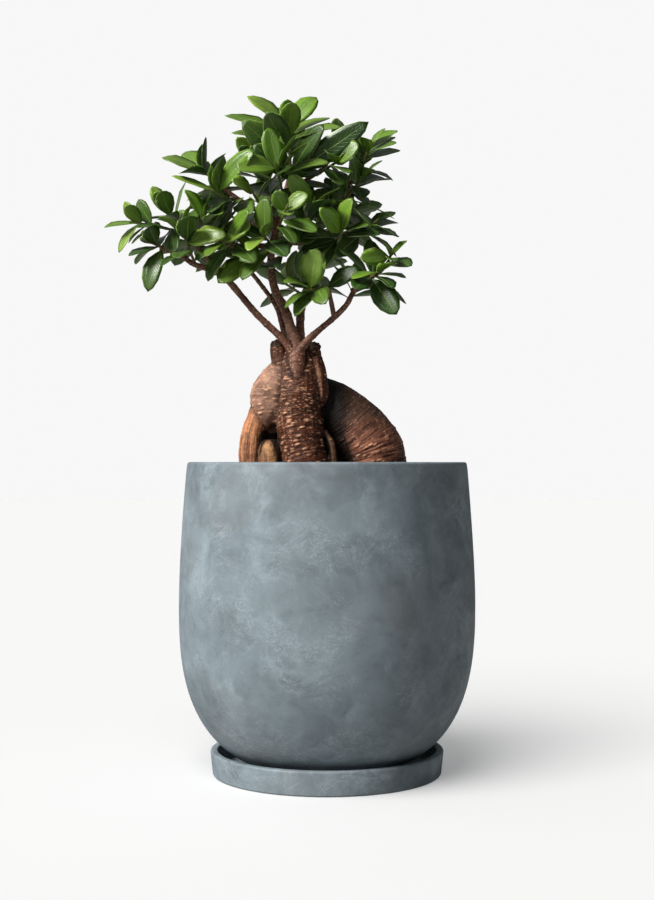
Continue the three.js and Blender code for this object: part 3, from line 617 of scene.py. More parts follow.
def fired_clay():
    """Dusty brown granules, a few of them nearly white."""
    material, tree, shader = new_finish("fired_clay_granules", 0.9, 0.25)
    place = object_place(tree)
    pick = add(tree, "ShaderNodeTexVoronoi", {"Vector": place, "Scale": 260.0}).outputs["Color"]
    pick = add(tree, "ShaderNodeSeparateColor", {0: pick}).outputs
    body = blend(tree, pick[0], rgb(72, 52, 38), rgb(124, 92, 64))
    body = blend(tree, calc(tree, "GREATER_THAN", pick[1], 0.82), body, rgb(150, 138, 120))
    dust = placed(tree, CLOUDS, {"Place": place, "Scale": 400.0, "Pull": 0.5})["Clouds"]
    tree.links.new(blend(tree, ramp(tree, dust, 0.4, 0.7, 0.0, 0.5), body, rgb(48, 36, 28)),
                   shader.inputs["Base Color"])
    relief(tree, shader, noise(tree, place, 2200.0, 3.0), 0.0004)
    return material


PEAT = peat()
GRANULES = fired_clay()

# %% Soil body
SOIL_LOW, SOIL_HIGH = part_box("potting_soil")
SOIL_MOUND, FILL_GAP = 5 * MM, 1 * MM
GRANULE_ROOM = 0.6 * MM  # the smooth top lies this much lower, and the granules fill it
SOIL_EDGE = SOIL_HIGH.z - SOIL_MOUND
soil_radius = inside(RIM - SOIL_EDGE) - FILL_GAP
wall_heights = np.linspace(SOIL_LOW.z, SOIL_EDGE, 14)
soil_outline = [(0, SOIL_LOW.z), *[(inside(RIM - height) - FILL_GAP, height) for height in wall_heights]]
soil_outline += [
    (soil_radius * share, SOIL_EDGE + SOIL_MOUND * math.cos(math.pi / 2 * share) - GRANULE_ROOM)
    for share in np.linspace(0.985, 0.03, 46)
]
soil_outline.append((0, SOIL_HIGH.z - GRANULE_ROOM))
soil_mesh = turned_mesh("potting_soil_top", soil_outline, False)
soil_mesh.materials.append(PEAT)

# %% Granules scattered over the soil
ROUGHENING = 0.006
ANY_TURN = (6.3, 6.3, 6.3)
SMALLEST, LARGEST = (0.5, 0.4, 0.35), (1.5, 1.3, 1.1)  # as shares of the granule size


def soil_tree():
    """Roughen the top, and lay small stones on it."""
    tree, given, out = geometry_tree("lay_granules", {"Granules": None, "Per square metre": 30000.0,
                                                      "Size": 0.0016, "Seed": SEED})
    place = tree.nodes.new("GeometryNodeInputPosition").outputs[0]
    height = add(tree, "ShaderNodeSeparateXYZ", {0: place}).outputs[2]
    on_top = calc(tree, "GREATER_THAN", height, SOIL_EDGE - 1 * MM)
    rough = centred(tree, noise(tree, place, 110.0, 5.0, 0.6))
    lift = add(tree, "ShaderNodeCombineXYZ", {2: times(tree, rough, ROUGHENING)}).outputs[0]
    body = add(tree, "GeometryNodeSetPosition", {"Geometry": given["Geometry"], "Selection": on_top, "Offset": lift})
    points = add(tree, "GeometryNodeDistributePointsOnFaces", {
        "Mesh": body.outputs[0], "Selection": on_top, "Density": given["Per square metre"], "Seed": given["Seed"],
    })
    stone = add(tree, "GeometryNodeMeshIcoSphere", {"Radius": given["Size"], "Subdivisions": 1}).outputs["Mesh"]
    turn = add(tree, "FunctionNodeRandomValue", {"Seed": given["Seed"]}, data_type="FLOAT_VECTOR")
    turn.inputs["Max"].default_value = ANY_TURN
    size = add(tree, "FunctionNodeRandomValue", {"Seed": given["Seed"]}, data_type="FLOAT_VECTOR")
    size.inputs["Min"].default_value = SMALLEST
    size.inputs["Max"].default_value = LARGEST
    stones = add(tree, "GeometryNodeInstanceOnPoints", {
        "Points": points.outputs["Points"], "Instance": stone, "Rotation": turn.outputs[0], "Scale": size.outputs[0],
    })
    loose = add(tree, "GeometryNodeRealizeInstances", {0: stones.outputs[0]}).outputs[0]
    coloured = add(tree, "GeometryNodeSetMaterial", {"Geometry": loose, "Material": given["Granules"]}).outputs[0]
    whole = tree.nodes.new("GeometryNodeJoinGeometry")
    tree.links.new(coloured, whole.inputs[0])
    tree.links.new(body.outputs[0], whole.inputs[0])
    tree.links.new(whole.outputs[0], out)
    return tree


soil_mesh = grown(workpiece("soil_work", soil_mesh), soil_tree(), {"Granules": GRANULES})
shown("potting_soil_top", soil_mesh, [PEAT, GRANULES], ["potting_soil"])

# %% [markdown]
# ## Rootstock
#
# A ginseng fig's rootstock is a handful of swollen roots that have grown into one another. In life it is one skin, so
# it is made like one: a tapering tube along each root, all of them remeshed into a single body, and that body smoothed
# a little so that the joints between roots turn into folds. Sculpting by hand would give the same result, but a table
# of roots can be read and changed.
#
# The bark then needs to know which way each root runs, because its rings go round the root and its cracks go along it.
# So every point of the skin is told its place in the frame of the nearest root, as an attribute called grain. It is
# told as well how enclosed it is, so that shade is painted into its bark, nearly black where the column shades the arm.

# %% The swollen roots
# Each root runs from the neck down into the soil: x, y, height above the rim and radius, in millimetres.
ROOTS = {
    "column": [
        [-25, 3, 97, 11], [-25, 1, 86, 16], [-25, -2, 72, 19.5], [-25, -5, 56, 21.5], [-24, -8, 38, 20.5],
        [-21, -12, 15, 19.5],
        [-16, -14, -8, 20], [-12, -14, -34, 18], [-8, -12, -62, 12], [-6, -8, -84, 6],
    ],
    "right_arm": [
        [-15, 8, 65, 13], [3, 14, 48, 23], [21, 18, 27, 30], [34, 20, 6, 33], [37, 18, -20, 30], [33, 14, -45, 19],
        [28, 10, -66, 9],
    ],
    "left_shoulder": [[-30, 1, 82, 11], [-39, -1, 70, 16], [-46, -4, 56, 18.5], [-47, -6, 42, 15], [-46, -6, 32, 8]],
    "left_root": [
        [-50, -2, 50, 13], [-56, -4, 38, 11.5], [-61, -6, 24, 11], [-63, -8, 8, 11], [-62, -8, -8, 12],
        [-57, -8, -30, 10], [-50, -6, -50, 6],
    ],
    "left_lobe": [[-47, -15, 19, 4], [-47, -15, 12, 9], [-46, -15, -2, 11], [-43, -13, -24, 10], [-38, -10, -44, 6]],
    "hollow_back": [[-46, 4, 50, 10], [-49, 6, 26, 12], [-49, 6, -4, 12], [-44, 4, -30, 9]],
    "right_fold": [[-11, -4, 88, 7], [-8, -7, 72, 8], [-6, -9, 57, 8], [-8, -10, 45, 5]],
    "left_stub": [[-34, -4, 68, 10], [-38, -4, 82, 8.5], [-41, -3, 94, 6.8], [-42, -2, 103, 4.8]],
    "right_stub": [[-17, -1, 68, 11], [-14, 0, 82, 9.5], [-13, 2, 93, 8], [-12, 3, 101, 6]],
    "rootlet": [[-2, -15, 27, 2], [4, -19, 14, 3], [6, -20, -4, 3.6], [8, -18, -28, 3.4], [10, -14, -46, 2.4]],
}

# For each root: bark colour, and from 0 to 1 how many pale flecks, how deep its cracks and how clear its rings.
ROOT_BARK = {
    "column": (rgb(94, 50, 32), 1.0, 0.35, 1.0),
    "right_arm": (rgb(92, 68, 55), 0.3, 0.15, 0.5),
    "left_shoulder": (rgb(184, 142, 120), 1.0, 0.1, 0.3),
    "left_root": (rgb(212, 144, 100), 0.1, 1.0, 0.1),
    "left_lobe": (rgb(196, 144, 98), 0.1, 0.8, 0.2),
    "hollow_back": (rgb(70, 44, 30), 0.1, 0.3, 0.3),
    "right_fold": (rgb(98, 56, 40), 0.6, 0.8, 0.5),
    "left_stub": (rgb(94, 57, 42), 0.5, 1.0, 0.3),
    "right_stub": (rgb(84, 49, 37), 0.4, 1.0, 0.3),
    "rootlet": (rgb(116, 82, 56), 0.1, 0.8, 0.2),
}


# %% A tube round a smooth path
def in_frame(rows):
    """Rows of x, y and height above the rim in millimetres, and of a radius if there is one, in the frame's metres."""
    measures = np.array(rows, float) * MM
    measures[:, 2] += RIM
    return measures


def smooth_path(stations, steps):
    """The stations of a limb with more between them, on a smooth curve, in the frame's metres."""
    knots = np.array(stations, float)
    padded = np.vstack([2 * knots[0] - knots[1], knots, 2 * knots[-1] - knots[-2]])
    rows = []
    for i in range(len(knots) - 1):
        a, b, c, d = padded[i:i + 4]
        for t in np.arange(steps) / steps:
            rows.append(0.5 * (2 * b + (c - a) * t + (2 * a - 5 * b + 4 * c - d) * t ** 2
                               + (3 * b - a - 3 * c + d) * t ** 3))
    rows.append(knots[-1])
    return in_frame(rows)


def frames(path):
    """Unit vectors along a path and two across it, carried on without twisting."""
    along = np.gradient(path[:, :3], axis=0)
    along /= np.linalg.norm(along, axis=1)[:, None]
    across = np.zeros_like(along)
    last = np.array([0.0, 1.0, 0.0])
    for i, direction in enumerate(along):
        last = last - direction * last.dot(direction)
        last /= np.linalg.norm(last)
        across[i] = last
    return along, across, np.cross(along, across)


def tube(path, sides):
    """Vertices and faces of a closed tube round a path of [x, y, z, radius] rows."""
    _, across, beyond = frames(path)
    angles = 2 * math.pi * np.arange(sides) / sides
    spokes = across[:, None] * np.cos(angles)[None, :, None] + beyond[:, None] * np.sin(angles)[None, :, None]
    rings = path[:, None, :3] + spokes * path[:, None, 3:]
    verts = [tuple(v) for v in rings.reshape(-1, 3)]
    last = len(verts) - sides
    faces = [tuple(range(sides))[::-1], tuple(range(last, last + sides))]
    for ring in range(0, last, sides):
        for k in range(sides):
            following = (k + 1) % sides
            faces.append((ring + k, ring + following, ring + sides + following, ring + sides + k))
    return verts, faces


def outward(mesh):
    """Turn every face of a closed mesh outwards."""
    work = bmesh.new()
    work.from_mesh(mesh)
    bmesh.ops.recalc_face_normals(work, faces=work.faces)
    work.to_mesh(mesh)
    work.free()
    return mesh


# %% One skin over all the roots
VOXEL = 0.95 * MM
PATH_STEPS, TUBE_SIDES, EASING = 8, 28, 7

root_paths = {name: smooth_path(stations, PATH_STEPS) for name, stations in ROOTS.items()}
verts, faces = [], []
for path in root_paths.values():
    tube_verts, tube_faces = tube(path, TUBE_SIDES)
    faces += [tuple(i + len(verts) for i in face) for face in tube_faces]
    verts += tube_verts
root_mesh = bpy.data.meshes.new("roots")
root_mesh.from_pydata(verts, [], faces)
root_work = workpiece("roots_work", outward(root_mesh))
fused = root_work.modifiers.new("fused", "REMESH")
fused.mode = "VOXEL"
fused.voxel_size = VOXEL
fused.use_smooth_shade = True
eased = root_work.modifiers.new("eased", "SMOOTH")
eased.factor = 0.5
eased.iterations = EASING
skin = plain_mesh(root_work)
print("rootstock skin:", len(skin.polygons), "faces")


# %% Helpers that measure a mesh against a path
def places_of(mesh):
    """The places of a mesh's vertices, as rows of an array."""
    flat = np.empty(len(mesh.vertices) * 3, np.float32)
    mesh.vertices.foreach_get("co", flat)
    return flat.reshape(-1, 3).astype(float)


def nearest_on_path(points, path):
    """For each point: its distance from a path in radii, and its place in the path's frame."""
    along, across, beyond = frames(path)
    travelled = np.concatenate([[0], np.cumsum(np.linalg.norm(np.diff(path[:, :3], axis=0), axis=1))])
    gap = np.linalg.norm(points[:, None] - path[None, :, :3], axis=2)
    near = (gap / path[None, :, 3]).argmin(axis=1)
    offset = points - path[near, :3]
    inside_frame = np.stack([
        (offset * across[near]).sum(1), (offset * beyond[near]).sum(1),
        travelled[near] + (offset * along[near]).sum(1),
    ], axis=1)
    return gap[np.arange(len(points)), near] / path[near, 3], inside_frame


def store(mesh, name, kind, values):
    """Write one value for every point of a mesh."""
    field = {"FLOAT": "value", "FLOAT_VECTOR": "vector", "FLOAT_COLOR": "color"}[kind]
    made = mesh.attributes.new(name, kind, "POINT")
    made.data.foreach_set(field, np.ascontiguousarray(values, np.float32).ravel())


# %% Grain, colour and folds of every point of the skin
LOW_ARM, LOW_FADE = RIM + 42 * MM, 26 * MM  # the right arm is redder below this height
LOW_ARM_BARK = rgb(172, 112, 88)
LOW_ARM_FLECKS, LOW_ARM_RINGS = 0.4, 0.5  # more of both there
COLOUR_EDGE = 14  # how sharply one root's colour gives way to the next one's
GRAIN_SHIFT = 0.113  # in metres, so that no two roots have the same pattern
FOLD_WIDTH = 0.2  # in root radii: how far from a joint the fold reaches, which is sunk and has shade painted into it
CUT_LENGTH, CUT_DEPTH = 9 * MM, 6 * MM  # of the dark sawn end of a stub

root_at = {name: column for column, name in enumerate(ROOTS)}
points = places_of(skin)
measured = [nearest_on_path(points, path) for path in root_paths.values()]
radii_away = np.stack([m[0] for m in measured], axis=1)
order = np.sort(radii_away, axis=1)
nearest = radii_away.argmin(axis=1)
share = np.exp(-COLOUR_EDGE * (radii_away - order[:, :1]))
share /= share.sum(axis=1, keepdims=True)
bark = list(ROOT_BARK.values())
grain = np.stack([m[1] for m in measured], axis=1)[np.arange(len(points)), nearest]
grain[:, 0] += nearest * GRAIN_SHIFT
cut = np.zeros(len(points))
for name in ("left_stub", "right_stub"):
    end = root_paths[name][-1]
    away = np.linalg.norm(points - end[:3], axis=1) - end[3]
    cut = np.maximum(cut, np.clip(1 - away / CUT_LENGTH, 0, 1) * (points[:, 2] > end[2] - CUT_DEPTH))
store(skin, "grain", "FLOAT_VECTOR", grain)
bark_colour = share @ np.array([b[0] for b in bark])
flecks, crack_depth, ringed = (share @ np.array([b[k] for b in bark]) for k in (1, 2, 3))
low = np.clip((LOW_ARM - points[:, 2]) / LOW_FADE, 0, 1) * share[:, root_at["right_arm"]]
bark_colour += low[:, None] * (np.array(LOW_ARM_BARK) - bark_colour)
store(skin, "bark", "FLOAT_COLOR", bark_colour)
store(skin, "flecks", "FLOAT", flecks + LOW_ARM_FLECKS * low)
store(skin, "cracks", "FLOAT", crack_depth)
store(skin, "ringed", "FLOAT", ringed + LOW_ARM_RINGS * low)
store(skin, "fold", "FLOAT", np.clip(1 - (order[:, 1] - order[:, 0]) / FOLD_WIDTH, 0, 1) ** 2)
store(skin, "cut", "FLOAT", cut)
print("grain stored for", len(points), "points")


# %% How enclosed every point is, for the painted shade
SHADE_RAY_REACH, SHADE_RAYS = 60 * MM, 20
RAY_LIFT = 0.0006
BURIED = RIM - 30 * MM
SHOULDER_REACH, SHOULDER_FADE = 1.6, 0.6  # in the shoulder's radii
SHADOW_REACH, SHADOW_FADE = 2.55, 0.9  # in the column's radii: how far its painted shadow reaches on the right arm
SHOULDER_PALE, COLUMN_PALE = 0.8, 0.6  # how much of the painted shade is held back there
# the enclosure at which the painted shade begins, and where it is full
SHADE_FROM, SHADE_FULL = 0.03, 0.26


def enclosed(mesh):
    """The share of rays from each point, over its own half of the directions, that meet the skin again."""
    tree = BVHTree.FromPolygons([v.co for v in mesh.vertices], [p.vertices for p in mesh.polygons])
    steps = (np.arange(SHADE_RAYS) + 0.5) / SHADE_RAYS
    turn = np.arange(SHADE_RAYS) * math.pi * (3 - math.sqrt(5))
    out = np.sqrt(steps)
    rays = [Vector((r * math.cos(a), r * math.sin(a), math.sqrt(1 - r * r))) for r, a in zip(out, turn)]
    found = np.zeros(len(mesh.vertices))
    for i, vertex in enumerate(mesh.vertices):
        if vertex.co.z < BURIED:
            continue
        spin = vertex.normal.to_track_quat("Z", "Y")
        start = vertex.co + vertex.normal * RAY_LIFT
        found[i] = sum(tree.ray_cast(start, spin @ ray, SHADE_RAY_REACH)[0] is not None for ray in rays) / SHADE_RAYS
    return found


# The shoulder lies open against the column, so little shade is painted into the corner between them.
beside_shoulder = np.clip((SHOULDER_REACH - radii_away[:, root_at["left_shoulder"]]) / SHOULDER_FADE, 0, 1)
painted_shade = enclosed(skin) * (1 - SHOULDER_PALE * beside_shoulder) * (1 - COLUMN_PALE * share[:, root_at["column"]])
# The column casts its shadow on the right arm beside it, and that shadow is painted nearly black into the arm's bark.
beside_column = np.clip((SHADOW_REACH - radii_away[:, root_at["column"]]) / SHADOW_FADE, 0, 1)
painted_shadow = beside_column * share[:, root_at["right_arm"]]
store(skin, "painted_shade", "FLOAT", np.maximum(painted_shade, SHADE_FULL * painted_shadow))
print("enclosed points measured")

# %% [markdown]
# ## Bark
#
# Fig bark is thin and close: fine rings run round the root, with pale corky dashes, called lenticels, lying in them,
# and shallow cracks run along it. The larger part of this is real relief, made with Geometry Nodes that push the skin
# in and out along its normal. The same dashes are drawn in the colour, from the same function, so that each pale dash
# sits on its own ridge.

# %% Dashes and rings, for geometry and for colour alike
def dashes(tree, grain, share, cell=(150.0, 150.0, 390.0)):
    """Pale corky dashes: flat cells that lie across the root, of which a share is kept."""
    stretched = vector(tree, "MULTIPLY", grain, cell)
    cells = add(tree, "ShaderNodeTexVoronoi", {"Vector": stretched, "Scale": 1.0, "Randomness": 0.95})
    pick = add(tree, "ShaderNodeSeparateXYZ", {0: cells.outputs["Color"]}).outputs[0]
    kept = calc(tree, "LESS_THAN", pick, share)
    return times(tree, kept, ramp(tree, cells.outputs["Distance"], 0.2, 0.5, 1.0, 0.0))


def fleck_shares(tree, much):
    """The shares of wide and of small dashes: wide ones only where there are many."""
    return ramp(tree, much, 0.35, 1.0, 0.0, 0.66), times(tree, much, 0.5)


def rings(tree, grain, fineness=560.0):
    """Fine rings round the root, from 0 to 1."""
    return noise(tree, vector(tree, "MULTIPLY", grain, (45.0, 45.0, fineness)), 1.0, 3.0, 0.6)


def cracks(tree, grain):
    """Shallow cracks along the root, from 0 to 1."""
    return noise(tree, vector(tree, "MULTIPLY", grain, (330.0, 330.0, 26.0)), 1.0, 4.0, 0.65)


def named(tree, name, kind="FLOAT"):
    """A stored attribute in a Geometry Nodes tree."""
    return add(tree, "GeometryNodeInputNamedAttribute", {"Name": name}, data_type=kind).outputs["Attribute"]


# %% Relief of the bark
FOLD_DEPTH = 0.0006


def moved_along_normal(tree, geometry, distance):
    """A geometry with every point moved outwards by its own distance."""
    normal = tree.nodes.new("GeometryNodeInputNormal").outputs[0]
    offset = scaled(tree, normal, distance)
    return add(tree, "GeometryNodeSetPosition", {"Geometry": geometry, "Offset": offset}).outputs[0]


def bark_tree():
    """Raise lumps, rings, dashes and cracks on the skin, break up the sawn ends and sink the folds."""
    tree, given, out = geometry_tree("raise_bark", {"Lumps": 0.0035, "Rings": 0.0015, "Dashes": 0.0007,
                                                    "Cracks": 0.0034, "Cut": 0.008})
    grain_here = named(tree, "grain", "FLOAT_VECTOR")
    place = tree.nodes.new("GeometryNodeInputPosition").outputs[0]
    lumps = times(tree, centred(tree, noise(tree, place, 55.0, 3.0, 0.5)), given["Lumps"])
    round_it = times(tree, centred(tree, rings(tree, grain_here)), given["Rings"], named(tree, "ringed"))
    dashed = times(tree, dashes(tree, grain_here, fleck_shares(tree, named(tree, "flecks"))[0]), given["Dashes"])
    along_it = times(tree, centred(tree, cracks(tree, grain_here)), named(tree, "cracks"), given["Cracks"])
    broken = times(tree, centred(tree, noise(tree, place, 320.0, 3.0, 0.7)), named(tree, "cut"), given["Cut"])
    folded = times(tree, named(tree, "fold"), -FOLD_DEPTH)
    total = calc(tree, "ADD", lumps, round_it, dashed, along_it, broken, folded)
    raised = moved_along_normal(tree, given["Geometry"], total)
    tree.links.new(add(tree, "GeometryNodeSetShadeSmooth", {0: raised}).outputs[0], out)
    return tree


root_skin = grown(workpiece("bark_work", skin), bark_tree(), {})


# %% Bark material of the rootstock
def attribute(tree, name, output="Fac"):
    """A stored attribute in a material."""
    return add(tree, "ShaderNodeAttribute", attribute_name=name).outputs[output]


def root_bark():
    """Patchy brown bark with rings, cracks and pale dashes, dark seams, painted shade in folds and hollows, and sawn
    stub ends.
    """
    material, tree, shader = new_finish("fig_root_bark", 0.6, 0.22)
    place, grain_here = object_place(tree), attribute(tree, "grain", "Vector")
    patchy = placed(tree, CLOUDS, {"Place": place, "Scale": 85.0, "Pull": 1.4})["Clouds"]
    body = blend(tree, ramp(tree, patchy, 0.36, 0.6, 0.55, 0.0), attribute(tree, "bark", "Color"), rgb(62, 33, 23))
    ring, ringed = rings(tree, grain_here), attribute(tree, "ringed")
    body = blend(tree, times(tree, ramp(tree, ring, 0.54, 0.4, 0.0, 0.85), ringed), body, rgb(44, 24, 17))
    crack = cracks(tree, grain_here)
    dark_crack = times(tree, ramp(tree, crack, 0.52, 0.36), attribute(tree, "cracks"))
    body = blend(tree, times(tree, dark_crack, 0.75), body, rgb(62, 34, 22))
    pale_crack = times(tree, ramp(tree, crack, 0.55, 0.7), attribute(tree, "cracks"))
    body = blend(tree, times(tree, pale_crack, 0.5), body, rgb(206, 150, 108))
    wide_share, small_share = fleck_shares(tree, attribute(tree, "flecks"))
    wide = dashes(tree, grain_here, wide_share)
    small = dashes(tree, grain_here, small_share, (330.0, 330.0, 800.0))
    shade = ramp(tree, noise(tree, place, 130.0, 3.0), 0.4, 0.62, 0.25, 1.0)
    pale = times(tree, calc(tree, "MAXIMUM", wide, times(tree, small, 0.7)), shade)
    body = blend(tree, times(tree, pale, 0.88), body, rgb(228, 172, 134))
    body = blend(tree, times(tree, attribute(tree, "seam"), 0.85), body, rgb(24, 13, 9))
    # Painted shade in the folds between the roots.
    body = blend(tree, times(tree, attribute(tree, "fold"), 0.6), body, rgb(26, 14, 10))
    # Painted shade: enclosed places, and the column's shadow on the right arm, are darkened nearly to black.
    painted_shade_mask = ramp(tree, attribute(tree, "painted_shade"), SHADE_FROM, SHADE_FULL, 0.0, 0.95)
    body = blend(tree, painted_shade_mask, body, rgb(14, 9, 7))
    rough_cut = ramp(tree, noise(tree, place, 420.0, 3.0, 0.7), 0.35, 0.7)
    sawn = blend(tree, rough_cut, rgb(28, 18, 14), rgb(88, 58, 42))
    body = blend(tree, ramp(tree, attribute(tree, "cut"), 0.1, 0.5), body, sawn)
    tree.links.new(body, shader.inputs["Base Color"])
    tree.links.new(ramp(tree, calc(tree, "ADD", ring, times(tree, pale, 0.3)), 0.3, 0.9, 0.62, 0.4),
                   shader.inputs["Roughness"])
    fine = noise(tree, place, 900.0, 4.0, 0.7)
    height = calc(tree, "ADD", times(tree, ring, 0.8), times(tree, pale, 0.5), times(tree, fine, 0.5))
    relief(tree, shader, height, 0.0008, 0.8)
    return material


shown("fig_rootstock", root_skin, root_bark(), ["rootstock"])

# %% [markdown]
# ## Branches
#
# The branches were grafted on: each is a thin limb that swells where it joins. They are the same kind of thing over
# and over, a tapering tube along a path, so Geometry Nodes make them all at once from one curve object: resample the
# paths evenly, let the radius rise and fall at the old leaf scars, sweep a circle along them, and keep for every point
# how far round and how far along its branch it is. The Bevel setting of a curve would sweep a tube as well, but it
# gives no scars and stores nothing for the bark to read. Where a graft was let into the stock a dark seam runs round
# it, and that is drawn in the rootstock's bark, from each point's distance to the graft's middle line.

# %% The branches
# Each branch from its joint to its end: x, y, height above the rim and radius, in millimetres.
BRANCHES = {
    "main_stem": [
        [-25, -19, 63, 2.6], [-25, -17, 73, 5.6], [-25, -13, 86, 7.4], [-26, -8, 98, 6.2], [-30, -4, 111, 4.6],
        [-36, -1, 130, 3.9], [-43, 0, 143, 3.6], [-47, 0, 160, 3.4], [-47, 0, 180, 3.1], [-42, 1, 201, 2.8],
        [-36, 0, 224, 2.4], [-31, -2, 243, 2.1],
    ],
    "back_stem": [
        [-22, 6, 90, 6], [-23, 9, 110, 4.1], [-22, 12, 130, 3.4], [-16, 18, 154, 2.9], [-6, 25, 180, 2.6],
        [6, 29, 208, 2.3], [15, 28, 229, 2.1], [22, 26, 245, 1.8],
    ],
    "left_branch": [
        [-28, -12, 91, 4.4], [-37, -12, 103, 3.4], [-59, -14, 124, 3], [-82, -17, 151, 2.9], [-93, -18, 159, 2.8],
        [-111, -20, 165, 2.4], [-123, -20, 173, 2.1], [-137, -20, 178, 1.9],
    ],
    "left_fork": [[-92, -18, 158, 2.6], [-102, -15, 173, 2.4], [-111, -11, 183, 2.1], [-120, -8, 198, 1.8]],
    "right_branch": [
        [-25, -14, 91, 4.4], [-17, -14, 101, 3.4], [-6, -15, 111, 2.7], [6, -16, 121, 2.6], [16, -18, 131, 2.4],
        [23, -18, 143, 2.3], [34, -18, 152, 2.1], [44, -16, 159, 1.9], [52, -14, 168, 1.7],
    ],
    "right_fork": [[6, -16, 121, 2.2], [3, -20, 136, 1.9], [1, -24, 145, 1.7]],
    "thin_branch": [
        [-29, 2, 93, 3.4], [-36, 6, 108, 2.5], [-41, 10, 127, 2.2], [-47, 15, 139, 2], [-60, 24, 157, 1.9],
        [-70, 34, 170, 1.8], [-78, 44, 184, 1.6],
    ],
    "mid_left_branch": [[-47, 0, 183, 2.6], [-64, -8, 182, 2.2], [-82, -14, 182, 2], [-97, -18, 189, 1.7]],
    "mid_right_branch": [[-46, 0, 186, 2.6], [-20, 3, 186, 2.2], [8, 2, 186, 1.9], [28, -2, 191, 1.6]],
    "front_branch": [[-47, 0, 172, 2.6], [-45, -14, 182, 2.2], [-42, -28, 190, 1.8]],
    "upper_left_branch": [[-41, 1, 203, 2.6], [-60, -4, 213, 2.2], [-80, -7, 225, 2], [-94, -8, 238, 1.7]],
    "upper_right_branch": [[-36, 0, 226, 2.2], [-21, 7, 238, 2], [-5, 13, 250, 1.7]],
    "back_left_branch": [[-43, 1, 196, 2.4], [-58, 20, 203, 2.1], [-78, 38, 212, 1.8]],
    "back_right_branch": [[-9, 23, 174, 2.4], [2, 44, 188, 2.1], [18, 62, 203, 1.7]],
    "back_low_branch": [[-22, 11, 128, 2.4], [-19, 34, 145, 2.1], [-12, 60, 166, 1.7]],
}


def path_curves(name, paths):
    """A curve object's data with one poly line for each path of [x, y, z, radius] rows."""
    data = bpy.data.curves.new(name, "CURVE")
    data.dimensions = "3D"
    for path in paths:
        line = data.splines.new("POLY")
        line.points.add(len(path) - 1)
        line.points.foreach_set("co", np.column_stack([path[:, :3], np.ones(len(path))]).ravel())
        line.points.foreach_set("radius", path[:, 3])
    return data


# %% A tree that sweeps limbs along curves
LIMB_RINGS, RING_HEIGHT = 700.0, 0.0007


def kept_for_bark(tree, geometry, name, value, kind="FLOAT"):
    """A geometry with a value stored on its points under a name."""
    sockets = {"Geometry": geometry, "Name": name, "Value": value}
    return add(tree, "GeometryNodeStoreNamedAttribute", sockets, data_type=kind).outputs[0]


def limb_tree():
    """Resample the paths, swell them at their scars, sweep a circle along them and raise fine rings."""
    tree, given, out = geometry_tree("sweep_limbs", {"Step": 0.0009, "Scar spacing": 0.011, "Scar": 0.1,
                                                     "Gnarl": 0.24, "Bark": None})
    even = add(tree, "GeometryNodeResampleCurve", {"Curve": given["Geometry"], "Length": given["Step"]}, mode="LENGTH")
    run = tree.nodes.new("GeometryNodeSplineParameter").outputs["Length"]
    place = tree.nodes.new("GeometryNodeInputPosition").outputs[0]
    drift = times(tree, noise(tree, place, 60.0, 1.0), 1.4)
    phase = calc(tree, "FRACT", calc(tree, "ADD", calc(tree, "DIVIDE", run, given["Scar spacing"]), drift))
    scar = ramp(tree, calc(tree, "ABSOLUTE", centred(tree, phase)), 0.0, 0.13, 1.0, 0.0)
    knots = times(tree, centred(tree, noise(tree, place, 150.0, 2.0)), given["Gnarl"])
    swell = calc(tree, "ADD", 1.0, times(tree, scar, given["Scar"]), knots)
    radius = times(tree, tree.nodes.new("GeometryNodeInputRadius").outputs[0], swell)
    line = kept_for_bark(tree, even.outputs[0], "run", run)
    line = kept_for_bark(tree, line, "thick", radius)
    circle = add(tree, "GeometryNodeCurvePrimitiveCircle", {"Resolution": 10, "Radius": 1.0}).outputs[0]
    spot = tree.nodes.new("GeometryNodeInputPosition").outputs[0]
    circle = kept_for_bark(tree, circle, "spot", spot, "FLOAT_VECTOR")
    swept = add(tree, "GeometryNodeCurveToMesh", {
        "Curve": line, "Profile Curve": circle, "Scale": radius, "Fill Caps": True,
    }).outputs[0]
    round_it = scaled(tree, named(tree, "spot", "FLOAT_VECTOR"), named(tree, "thick"))
    along_it = add(tree, "ShaderNodeCombineXYZ", {2: named(tree, "run")}).outputs[0]
    grain_here = vector(tree, "ADD", round_it, along_it)
    swept = kept_for_bark(tree, swept, "grain", grain_here, "FLOAT_VECTOR")
    ring = centred(tree, rings(tree, grain_here, LIMB_RINGS))
    ringed = moved_along_normal(tree, swept, times(tree, ring, RING_HEIGHT))
    smooth = add(tree, "GeometryNodeSetShadeSmooth", {0: ringed}).outputs[0]
    barked = add(tree, "GeometryNodeSetMaterial", {"Geometry": smooth, "Material": given["Bark"]}).outputs[0]
    tree.links.new(barked, out)
    return tree


LIMBS = limb_tree()


